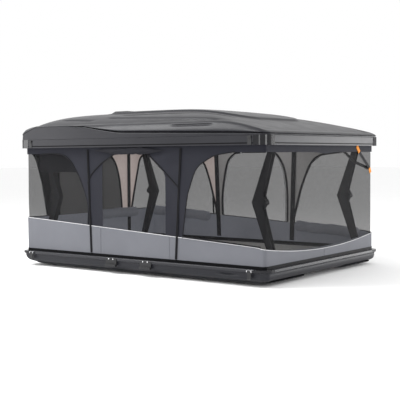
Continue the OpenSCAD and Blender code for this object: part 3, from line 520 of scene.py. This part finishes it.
def crease(x):
    """The height of the crease along a side, which sweeps up towards the nose."""
    sweep = sweep_h * (np.maximum(sweep_from - x, 0) / sweep_l) ** sweep_power
    return np.minimum(crease_h + crease_slope * (half_l - x) + sweep, crease_top)


def relief(inset, x):
    """The raised deck, less the grooves."""
    deck = deck_h * smooth((inset - deck_in) / deck_edge) * along_fade(x, deck_from, deck_to, deck_fade)
    cut = 0
    for middle, lean, start, end in grooves:
        away = inset - middle + lean * (x - (start + end) / 2)
        cut = cut + groove_depth * np.exp(-((away / groove_w) ** 2)) * along_fade(x, start, end, groove_fade)
    return deck - cut


def lid_wall_ring(inset, low, high, notch):
    """One level of the lid's wall: low is its share up to the crease, high from there to the crown."""
    p = plan(inset)
    top = crown(plan(crown_in))
    at_tail = np.where(p[:, 0] > half_l - tail_notch_reach, tail_notch, 1)
    share = smooth((p[:, 0] - notch_from) / notch_fade) * at_tail
    pull = notch * notch_depth * share
    press_in(p, 0, half_l - wall_reach, pull)
    press_in(p, 1, half_w - wall_reach, pull)
    under_crown = (crease_share - crease_drop * share) * top
    under_ends = end_share * np.minimum(ends(p), nose_foot + nose_slope * (p[:, 0] + half_l))
    foot = np.minimum(np.minimum(crease(p[:, 0]), under_crown), under_ends)
    z = low * foot + high * (top - foot)
    slot = slot_depth * along_fade(p[:, 0], slot_from, slot_to, slot_fade)
    press_in(p, 1, half_w - wall_reach, slot * np.exp(-(((z - slot_h) / slot_w) ** 2)))
    return np.c_[p, shell_z + z]


def lid_crown_ring(inset, lower):
    p = plan(inset)
    return np.c_[p, shell_z + crown(p) + relief(inset, p[:, 0]) - lower]


# each level's inset, shares of the height below and above the crease, and share of the notch
lid_walls = spline(
    [
        (0, 0, 0, 0),
        (0.001, 0.5, 0, 0),
        (0.002, 0.93, 0, 0.08),
        (0.003, 1, 0, 1),
        (0.003, 1, 0.06, 0.8),
        (0.001, 1, 0.13, 0.15),
        (0.001, 1, 0.22, 0),
        (0.009, 1, 0.46, 0),
        (0.023, 1, 0.74, 0),
        (0.040, 1, 0.91, 0),
        (crown_in, 1, 1, 0),
    ],
    90,
)[:-1]
lid_inside = [
    (0.044, 1, 0.85, 0),
    (0.027, 1, 0.62, 0),
    (0.016, 1, 0.3, 0.6),
    (0.012, 0.8, 0, 1),
    (0.008, 0, 0, 0),
]
crown_insets = np.linspace(crown_in, crown_end, 90)
lid_rings = [lid_crown_ring(i, lid_wall) for i in crown_insets[::-3]]
lid_rings += [lid_wall_ring(*level) for level in (*lid_inside, *lid_walls)]
lid_rings += [lid_crown_ring(i, 0) for i in crown_insets]
lid_shell = thing("lid_crown", *skin(lid_rings), lid_finish, 50)
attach(lid_shell, "lid")
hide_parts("lid_shell")
dress(black_plastic, "roof_vent")


# Headliner: grey needle felt glued under the crown, cut out round the vent's opening and ending
# short of the lid's walls.
felt_in, felt_gap, vent_gap = 0.100, 0.002, 0.001
felt, shader, place = surface("lining_felt", Specular_IOR_Level=0.1, Sheen_Weight=0.2)
fibres = place.noise(350.0, 4.0)
feed(
    shader,
    Base_Color=fibres.between((0.24, 0.24, 0.24), (0.36, 0.36, 0.355)),
    Roughness=fibres * 0.1 + 0.85,
    Normal=fibres.bump(0.5, 0.0008),
)
felt_rings = [lid_crown_ring(i, lid_wall + felt_gap) for i in np.linspace(felt_in, crown_end, 45)]
felt_points, felt_faces = skin(felt_rings, (False, True))
vent_low, vent_high = (np.array(node_corner("roof_vent", end)[:2]) for end in (0, 1))
past_low = felt_points[:, :2] > vent_low - vent_gap
in_vent = (past_low & (felt_points[:, :2] < vent_high + vent_gap)).all(1)
headliner = thing("headliner_felt", felt_points, [f for f in felt_faces if not all(in_vent[list(f)])], felt)
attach(headliner, "lid")
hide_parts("headliner")


# Canvas walls: charcoal coated canvas sewn to the rim and the lid, cut away in arches; the left
# wall has a door panel between two zips, the right wall a middle window, and the corners are open.
skirt_z = node_corner("skirt_band", 0)[2]
wall_in, valance_z, foot_z, head_z = 0.030, 0.750, 0.15, 0.753
slack, slack_h, slack_from, slack_fade, side_zone = 0.0018, 0.66, 0.30, 0.12, 0.02
dip_depth, dip_y, dip_w, tail_x = 0.010, 0.02, 0.09, 0.90
end_top, side_top, top_fade = 0.842, 0.030, 0.1
canvas = woven("wall_canvas", (0.0125, 0.0128, 0.0176), (0.0205, 0.0212, 0.0285), 0.0018)
# each arch's edge, by height and place along the wall
window_front = [(foot_z, -0.386), (0.428, -0.386), (0.568, -0.44), (0.646, -0.489)]
window_front += [(0.711, -0.543), (0.748, -0.625), (head_z, -0.80)]
window_rear = [(foot_z, 0.386), (0.266, 0.386), (0.474, 0.418), (0.55, 0.441)]
window_rear += [(0.638, 0.478), (0.679, 0.515), (0.731, 0.616), (head_z, 0.76)]
door_front = [(foot_z, -0.257), (0.66, -0.257), (0.69, -0.25)]
door_front += [(0.712, -0.219), (0.731, -0.181), (head_z, -0.12)]
door_rear = [(foot_z, 0.255), (0.607, 0.255), (0.661, 0.231), (0.745, 0.127), (head_z, 0.11)]
right_front = [(foot_z, -0.323), (0.328, -0.323), (0.419, -0.347), (0.561, -0.39)]
right_front += [(0.674, -0.44), (0.73, -0.53), (head_z, -0.72)]
right_rear = [(foot_z, 0.359), (0.282, 0.359), (0.474, 0.409), (0.588, 0.453)]
right_rear += [(0.673, 0.496), (0.729, 0.57), (head_z, 0.74)]
middle_front = [(foot_z, -0.262), (0.421, -0.266), (0.563, -0.246)]
middle_front += [(0.684, -0.215), (0.743, -0.154), (head_z, -0.10)]
middle_rear = [(foot_z, 0.304), (0.443, 0.304), (0.568, 0.293)]
middle_rear += [(0.664, 0.266), (0.741, 0.209), (head_z, 0.14)]
front_right = [(foot_z, 0.38), (0.33, 0.39), (0.60, 0.46), (0.72, 0.504), (head_z, 0.60)]
front_left = [(foot_z, -0.48), (0.325, -0.49), (0.55, -0.533)]
front_left += [(0.70, -0.58), (0.74, -0.603), (head_z, -0.625)]
levels = np.sort(np.r_[np.linspace(foot_z, head_z, 60), 0.607, 0.69, 0.743, 0.745, 0.748, 0.750])


def edge(points, z):
    return np.interp(z, [p[0] for p in points], [p[1] for p in points])


def ripple(s, z):
    """Slack in a hung wall: slow upright folds, flat where the wall lies behind the band."""
    hang = np.sin(np.clip((z - skirt_z) / slack_h, 0, 1) * math.pi) * smooth((z - slack_from) / slack_fade)
    return slack * hang * (np.sin(s * 17 + 3 * z) + 0.6 * np.sin(s * 41 + 9 * z + 1))


def long_wall(across, low_edge, high_edge, inset, columns=14):
    """A panel of a long wall between two upright edges."""
    rows = []
    for z in levels:
        x = np.linspace(edge(low_edge, z), edge(high_edge, z), columns)
        y = across * (half_w - inset + ripple(x, np.full(columns, z)))
        rows.append(np.c_[x, y, np.full(columns, z)])
    faces = grid_faces(len(rows), columns)
    return np.vstack(rows), faces if across < 0 else [f[::-1] for f in faces]


def front_wall(low_edge, high_edge, inset, columns=24):
    """A panel of the front wall between two upright edges."""
    rows = []
    for z in levels:
        y = np.linspace(edge(high_edge, z), edge(low_edge, z), columns)
        rows.append(np.c_[-(half_l - inset + ripple(y, np.full(columns, z))), y, np.full(columns, z)])
    return np.vstack(rows), grid_faces(len(rows), columns)


def round_wall(inset, low, high, rows=8):
    """A band right round the tent; low and high give its edges' heights at each point."""
    p = rounded(half_l - inset, half_w - inset, corner_r - inset, 8)
    s = np.r_[0, np.cumsum(np.hypot(*np.diff(p, axis=0).T))]
    out = p * (np.abs(p) > np.array((half_l, half_w)) - inset - side_zone)
    out /= np.maximum(np.hypot(*out.T), 1e-6)[:, None]
    rings = []
    for t in np.linspace(0, 1, rows):
        z = low(p) * (1 - t) + high(p) * t
        rings.append(np.c_[p + out * ripple(s, z)[:, None], z])
    return np.vstack(rings), grid_faces(rows, len(p), True)


def valance_foot(p):
    """The valance hangs a little lower in the middle of the rear end."""
    return valance_z - dip_depth * np.exp(-(((p[:, 1] - dip_y) / dip_w) ** 2)) * (p[:, 0] > tail_x)


def wall_top(p):
    """The walls reach higher behind the long sides than at the ends."""
    from_end = tail_x - np.abs(p[:, 0])
    return np.where(from_end < 0, end_top, end_top + side_top * smooth(from_end / top_fade))


def soft_piece(made, slot_name, *replaced, lean=0.0):
    """A cloth piece is carried with the base on its own copy of its mesh, and the parts it replaces are
    hidden; lean is not used.
    """
    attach(made, "base")
    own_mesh(made)
    if replaced:
        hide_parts(*replaced)


walls = thing(
    "canvas_panels",
    *together(
        long_wall(-1, window_front, door_front, wall_in),
        long_wall(-1, door_rear, window_rear, wall_in),
        long_wall(1, right_front, middle_front, wall_in),
        long_wall(1, middle_rear, right_rear, wall_in),
        front_wall(front_left, front_right, wall_in),
        round_wall(wall_in, valance_foot, wall_top),
    ),
    canvas,
)
soft_piece(walls, "wall_canvas", "canvas_walls")


# Lining: the columns of the right and front walls are faced inside with a thin pale cloth, and the middle of
# the front wall with a dark olive one. The daylight through them is painted light, an emitted glow; the pale
# cloth is drawn as a lit copy on the right wall's front column and the front wall, and as a greyer, dimmer
# shaded copy on the rest.
def cloth_with_painted_glow(name, cloth, painted_glow):
    """Thin cloth with painted light: an emitted glow stands in for the daylight through it, uneven at random
    and painted weaker towards the tail.
    """
    made, shader, place = surface(name, Roughness=0.9, Specular_IOR_Level=0.1, Emission_Strength=1.0)
    thread = place.noise(900.0)
    # painted light: the emission is a glow standing in for daylight through the cloth, fading towards the
    # tail as painted shade
    painted_glow_share = place.noise(4.0, 3.0) - place.part(0) * 0.35
    feed(
        shader,
        Base_Color=thread.between([c * 0.88 for c in cloth], cloth),
        Emission_Color=painted_glow_share.between([c * 0.62 for c in painted_glow], [c * 1.32 for c in painted_glow]),
        Normal=thread.bump(0.3, 0.0003),
    )
    return made


lined, olive_from = wall_in + 0.013, -0.37
right_post = [(foot_z, -0.297), (head_z, -0.320)]
olive_edge = [(foot_z, olive_from), (head_z, olive_from)]
lining_edge = [(foot_z, 0.276), (0.358, 0.276), (0.474, 0.264), (0.577, 0.247)]
lining_edge += [(0.666, 0.215), (0.729, 0.166), (head_z, 0.106)]
for name, cloth, painted_glow, parts, flat in (
    # the lit copy of the pale cloth, with a bright painted glow
    (
        "lit_lining",
        (0.62, 0.54, 0.51),
        (0.40, 0.335, 0.315),
        (long_wall(1, right_front, right_post, lined), front_wall(lining_edge, front_right, lined, 8)),
        (0.40, 0.60),
    ),
    # the shaded copy of the pale cloth, greyer and with a weak painted glow
    (
        "shaded_lining",
        (0.45, 0.44, 0.43),
        (0.13, 0.125, 0.125),
        (long_wall(1, right_post, middle_front, lined), long_wall(1, middle_rear, right_rear, lined)),
        (0.30, 0.60),
    ),
    (
        "olive_lining",
        (0.05, 0.05, 0.046),
        (0.062, 0.061, 0.062),
        (front_wall(olive_edge, lining_edge, lined),),
        (0.66, 0.61),
    ),
):
    faced = thing(name, *together(*parts), cloth_with_painted_glow(name, cloth, painted_glow))
    soft_piece(faced, "wall_canvas")


# Insect mesh: fine black knitted net, sewn in behind the canvas all the way round from the band
# to the lid's profiles.
def level_at(z):
    return lambda p: np.full(len(p), z)


net_in, net_low, net_high = wall_in + 0.007, 0.130, 0.800
net, cord, place = surface("insect_net", Roughness=0.8, Specular_IOR_Level=0.1)
knit = place.noise(700.0, 1.0)
feed(cord, Base_Color=knit.between((0.007, 0.007, 0.008), (0.016, 0.016, 0.017)))
cover = place.noise(60.0, 3.0) * 0.10 + 0.515
threads = Wire(place.tree, cord.outputs[0])
mixed = place.node("MixShader", Fac=cover, i1=place.node("BsdfTransparent"), i2=threads)
feed(net.node_tree.nodes["Material Output"], Surface=mixed)
mesh_walls = thing("insect_mesh", *round_wall(net_in, level_at(net_low), level_at(net_high), 10), net)
soft_piece(mesh_walls, "wall_mesh", "mesh_walls")


# Grey band: heavier coated cloth round the foot of the walls, higher at the nose and dipping
# across the tail, with a pale piped edge and seams where its lengths are joined.
band_in, band_lining_in, lining_short = wall_in - 0.0015, wall_in + 0.017, 0.002
nose_band_z, band_fall = 0.325, 0.110
tail_band_z, tail_band_rise, tail_band_from, tail_band_fade = 0.163, 0.052, 0.09, 0.06
piping_out, piping_r, seam_in, seam_r = 0.002, 0.0019, 0.028, 0.0011
band_cloth = woven("band_cloth", (0.110, 0.113, 0.127), (0.151, 0.155, 0.172), 0.0018, 0.8)
piping_cloth = woven("piping_cloth", (0.5, 0.5, 0.51), (0.62, 0.62, 0.63), 0.002)


def band_top(p):
    x, y = p[:, 0], p[:, 1]
    run = nose_band_z - band_fall * (x + half_l) / (2 * half_l)
    dip = tail_band_z + tail_band_rise * (y / half_w) ** 2
    rear = smooth((x - half_l + tail_band_from) / tail_band_fade)
    return run * (1 - rear) + np.minimum(dip, run) * rear


def band_top_at(x, y):
    return band_top(np.array([(x, y)]))[0]


def tube(path, radius, sides=8, closed=False):
    """A round bar along a path."""
    path = np.asarray(path, float)
    n = len(path)
    ahead_of = np.roll(path, -1, 0) - np.roll(path, 1, 0)
    if not closed:
        ahead_of[0], ahead_of[-1] = path[1] - path[0], path[-1] - path[-2]
    ahead_of /= np.linalg.norm(ahead_of, axis=1)[:, None]
    radius = np.broadcast_to(radius, n)
    a = np.linspace(0, math.tau, sides, endpoint=False)
    side = np.cross(ahead_of[0], (0.3, 0.5, 0.81))
    rings = []
    for p, d, r in zip(path, ahead_of, radius):
        side = side - d * np.dot(side, d)
        side /= np.linalg.norm(side)
        other = np.cross(d, side)
        rings.append(p + r * (np.cos(a)[:, None] * side + np.sin(a)[:, None] * other))
    if not closed:
        return skin(rings)
    last = (n - 1) * sides
    joint = [(last + j, last + (j + 1) % sides, (j + 1) % sides, j) for j in range(sides)]
    return np.vstack(rings), grid_faces(n, sides, True) + joint


band = thing("skirt_band_cloth", *round_wall(band_in, level_at(skirt_z), band_top, 10), band_cloth)
soft_piece(band, "band_cloth", "skirt_band")
# The band's inner face glows with painted light, standing in for the daylight that reaches it through the
# net and the door.
band_back = thing(
    "band_lining",
    *round_wall(band_lining_in, level_at(skirt_z + lining_short), lambda p: band_top(p) - lining_short, 10),
    cloth_with_painted_glow("band_lining", (0.22, 0.225, 0.25), (0.105, 0.11, 0.128)),
)
soft_piece(band_back, "band_cloth")

band_line = rounded(half_l - wall_in + piping_out, half_w - wall_in + piping_out, corner_r - wall_in, 8)
piping_path = np.c_[band_line, band_top(band_line)]
piping = thing("band_piping", *tube(piping_path, piping_r, 6, True), piping_cloth)
soft_piece(piping, "band_cloth")
seams = []
for x, y in ((-0.275, -(half_w - seam_in)), (0.285, -(half_w - seam_in)), (half_l - seam_in, 0.0)):
    top = band_top_at(x, y)
    heights = (skirt_z + lining_short, (skirt_z + top) / 2, top - lining_short)
    seams.append(tube([(x, y, z) for z in heights], seam_r, 6))
seam = thing("band_seams", *together(*seams), band_cloth)
soft_piece(seam, "band_cloth")


# Arch bindings and zips: black tape bound over the canvas edges, nylon coil zips up both sides of
# each middle panel and broad dark tapes behind them inside the right and front walls.
binding_in, binding_r = wall_in - 0.001, 0.003
far_binding_in, far_binding_r = wall_in + 0.016, 0.0075
door_binding_out, door_binding_r, flap_line_out = 0.002, 0.0045, 0.004
front_foot_z, band_gap, sill_gap = 0.328, 0.003, 0.006
piping_in, piping_aside, window_piping_r = wall_in + 0.018, 0.014, 0.003
zip_y, zip_low, zip_high, coil_aside, coil_r = half_w - 0.0262, 0.118, 0.776, 0.004, 0.0036
post_in, post_low, post_high = wall_in + 0.020, 0.125, 0.76
side_post_half_w, front_post_half_w, post_half_d = 0.018, 0.017, 0.001
tape = woven("black_tape", (0.006, 0.006, 0.007), (0.011, 0.011, 0.013), 0.0012)


def arch(across, points, inset):
    """The line of an arch's edge on a long wall, from just above the band."""
    low = band_top_at(points[0][1], across * half_w) + band_gap
    z = np.array([low] + [q[0] for q in points if q[0] > low])
    return spline(np.c_[edge(points, z), np.full(len(z), across * (half_w - inset)), z], 60)


def front_arch(points, inset):
    """The line of an arch's edge on the front wall."""
    z = np.array([front_foot_z] + [q[0] for q in points if q[0] > front_foot_z])
    return spline(np.c_[np.full(len(z), -(half_l - inset)), edge(points, z), z], 60)


def on_left(*points):
    """A line drawn on the left wall through points, by place along it and height."""
    return spline([(x, -(half_w - wall_in + door_binding_out), z) for x, z in points], 40)


far_edges = (right_front, middle_front, middle_rear, right_rear)
door_line = on_left((-0.383, 0.56), (-0.349, 0.618), (-0.269, 0.683), (-0.181, 0.731), (-0.139, 0.751))
flap_line = on_left((0.127, 0.745), (0.24, 0.65), (0.356, 0.549)) - np.array((0, flap_line_out, 0))
sill_line = on_left(*[(x, band_top_at(x, -half_w) + sill_gap) for x in (0.39, 0.6, 0.8, 0.93)])
bindings = [tube(arch(-1, e, binding_in), binding_r) for e in (window_front, window_rear)]
bindings += [tube(arch(1, e, far_binding_in), far_binding_r) for e in far_edges]
for points in (front_left, lining_edge, front_right):
    bindings.append(tube(front_arch(points, far_binding_in), far_binding_r))
bindings += [tube(line, door_binding_r) for line in (door_line, flap_line, sill_line)]
binding = thing("arch_bindings", *together(*bindings), tape)
soft_piece(binding, "black_webbing")

inner_lines = []
for s, points in ((1, middle_front), (-1, middle_rear)):
    aside = [(z, x + s * piping_aside) for z, x in points]
    inner_lines.append(tube(arch(1, aside, piping_in), window_piping_r, 6))
soft_piece(thing("window_piping", *together(*inner_lines), piping_cloth), "band_cloth")

coils = []
for s in (-1, 1):
    for foot, head in ((-0.356, -0.379), (0.335, 0.376)):
        for w in (-coil_aside, coil_aside):
            coils.append(tube([(foot + w, s * zip_y, zip_low), (head + w, s * zip_y, zip_high)], coil_r, 6))
zip_piece = thing("zip_coils", *together(*coils), tape)
soft_piece(zip_piece, "black_webbing", "door_zips")


def post(a, b, across, depth):
    """A flat tape between two points, with a width along the wall and a depth through it."""
    a, b, across, depth = (np.array(v, float) for v in (a, b, across, depth))
    ring = np.array([-across - depth, across - depth, across + depth, depth - across])
    return skin([a + ring, (a + b) / 2 + ring, b + ring])


inside_x, inside_y = -(half_l - post_in), half_w - post_in
front_ends = (inside_x, 0.356, post_low), (inside_x, 0.358, post_high)
posts = []
for foot, head in ((-0.295, -0.320), (0.342, 0.362)):
    low, high = (foot, inside_y, post_low), (head, inside_y, post_high)
    posts.append(post(low, high, (side_post_half_w, 0, 0), (0, post_half_d, 0)))
posts.append(post(*front_ends, (0, front_post_half_w, 0), (post_half_d, 0, 0)))
zip_tapes = thing("zip_tapes", *together(*posts), tape)
soft_piece(zip_tapes, "black_webbing")


# Rolled door: the door's canvas bunched up under the lid and tied, with one corner hanging in
# a folded triangle.
roll_from, roll_l, roll_z, roll_fall, roll_sag = -0.30, 0.55, 0.768, 0.004, 0.002
roll_out, roll_half_d, roll_half_h, round_roll = 0.0135, 0.009, 0.020, 24
flap_out, flap_fold, flap_rows = 0.0255, 0.003, 24
dark_cloth = woven("dark_cloth", (0.009, 0.009, 0.012), (0.015, 0.015, 0.019), 0.0016)
rings = []
for t in np.linspace(0, 1, 80):
    a = np.linspace(0, math.tau, round_roll, endpoint=False)
    lumps = 1 + 0.15 * np.sin(5 * a + 14 * t) + 0.12 * np.sin(7 * a - 37 * t)
    swell = min(1, 3 * min(t, 1 - t) + 0.1) * lumps
    y = -(half_w - roll_out) + roll_half_d * swell * np.cos(a)
    z = roll_z - roll_fall * t + roll_sag * math.sin(13 * t) + roll_half_h * swell * np.sin(a)
    rings.append(np.c_[np.full(round_roll, roll_from + roll_l * t), y, z])
door_roll = thing("door_roll", *skin(rings), dark_cloth)
soft_piece(door_roll, "wall_canvas", "rolled_door", lean=0.09)

rows = []
u = np.linspace(0, 1, flap_rows)[:, None]
top = np.array((0.10, 0.785)) * (1 - u) + np.array((0.372, 0.785)) * u
low = np.array((0.127, 0.745)) * (1 - u) + np.array((0.356, 0.552)) * u
for v in np.linspace(0, 1, flap_rows):
    q = top * (1 - v) + low * v
    fold = flap_fold * np.sin(u[:, 0] * 9 + v * 7) * np.sin(v * math.pi)
    rows.append(np.c_[q[:, 0], np.full(flap_rows, -(half_w - flap_out)) - fold, q[:, 1]])
flap = thing("door_flap", np.vstack(rows), grid_faces(flap_rows, flap_rows), canvas)
soft_piece(flap, "wall_canvas", lean=0.02)


# Window rolls: the covers of the two far side windows and of the front one, rolled down on the
# band inside and tied in three places.
cover_in, cover_r, cover_sag, tie_depth, tie_w = 0.078, 0.036, 0.002, 0.10, 0.02
ties_at = np.array((0.2, 0.5, 0.8))


def cloth_roll(a, b, seed):
    """A lumpy roll between two points; the seed shifts its lumps."""
    t = np.linspace(0, 1, 60)
    path = np.array(a) * (1 - t[:, None]) + np.array(b) * t[:, None]
    path[:, 2] += cover_sag * np.sin(t * 11 + seed)
    ties = 1 - tie_depth * np.exp(-(((t[:, None] - ties_at) / tie_w) ** 2)).sum(1)
    lumps = 1 + 0.03 * np.sin(t * 23 + seed) + 0.02 * np.sin(t * 51 + 2 * seed)
    return tube(path, cover_r * lumps * ties * np.minimum(1, 30 * np.minimum(t, 1 - t) + 0.7), 16)


cover_x, cover_y = -(half_l - cover_in), half_w - cover_in
# The rolls' cloth glows with painted light, standing in for the daylight that reaches it inside the tent.
rolls = thing(
    "cover_rolls",
    *together(
        cloth_roll((-0.90, cover_y, 0.304), (-0.37, cover_y, 0.275), 0.0),
        cloth_roll((0.40, cover_y, 0.233), (0.88, cover_y, 0.206), 1.0),
        cloth_roll((cover_x, -0.02, 0.306), (cover_x, 0.40, 0.306), 2.0),
    ),
    cloth_with_painted_glow("roll_cloth", (0.24, 0.245, 0.27), (0.060, 0.063, 0.074)),
)
soft_piece(rolls, "band_cloth", "window_rolls")


# Blind: dark cloth half rolled up inside the front left opening, behind the net; it hangs from
# the wall's upper edge.
blind_from, blind_to = (node_corner("window_blind", end)[0] for end in (0, 1))
blind_low, blind_high, blind_in, blind_wave = 0.632, 0.790, 0.0435, 0.002
blind_rows, blind_columns = 16, 20
x = np.linspace(blind_from, blind_to, blind_columns)
rows = []
for z in np.linspace(blind_low, blind_high, blind_rows):
    y = -(half_w - blind_in) + blind_wave * np.sin(x * 30 + z * 20)
    rows.append(np.c_[x, y, np.full(blind_columns, z)])
blind = thing("blind_cloth", np.vstack(rows), grid_faces(blind_rows, blind_columns), dark_cloth)
soft_piece(blind, "wall_canvas", "window_blind")


# Pull strap: black webbing from under the lid to the rear right corner, one length outside the
# net and one inside it, with sewn orange loops at the outer one's ends.
strap_out, strap_apart = 0.0006, 0.012
strap_x = half_l - wall_in + strap_out
behind_x = strap_x - strap_apart
strap_w, behind_w, tab_w, strap_d, tab_d = 0.022, 0.020, 0.026, 0.002, 0.003


def ribbon(x, start, end, width, thickness):
    """A straight strip across the rear wall, from one place and height to another."""
    a, b = np.array((x, *start)), np.array((x, *end))
    d = (b - a) / np.linalg.norm(b - a)
    w = np.cross(d, (1, 0, 0)) * width / 2
    through = np.array((thickness, 0, 0))
    ring = np.array([-w, w, through + w, through - w])
    return skin([a + ring, (a + b) / 2 + ring, b + ring])


strap = thing(
    "strap_web",
    *together(
        ribbon(strap_x, (0.465, 0.752), (0.620, 0.640), strap_w, strap_d),
        ribbon(behind_x, (0.250, 0.765), (0.440, 0.680), behind_w, strap_d),
        ribbon(behind_x, (0.430, 0.684), (0.630, 0.640), behind_w, strap_d),
    ),
    tape,
)
soft_piece(strap, "black_webbing", "pull_strap")
orange = woven("orange_web", (0.5, 0.17, 0.02), (0.65, 0.25, 0.04), 0.0015)
tabs = thing(
    "strap_tabs",
    *together(
        ribbon(strap_x, (0.435, 0.788), (0.470, 0.748), tab_w, tab_d),
        ribbon(strap_x, (0.617, 0.643), (0.632, 0.612), tab_w, tab_d),
    ),
    orange,
)
soft_piece(tabs, "black_webbing")
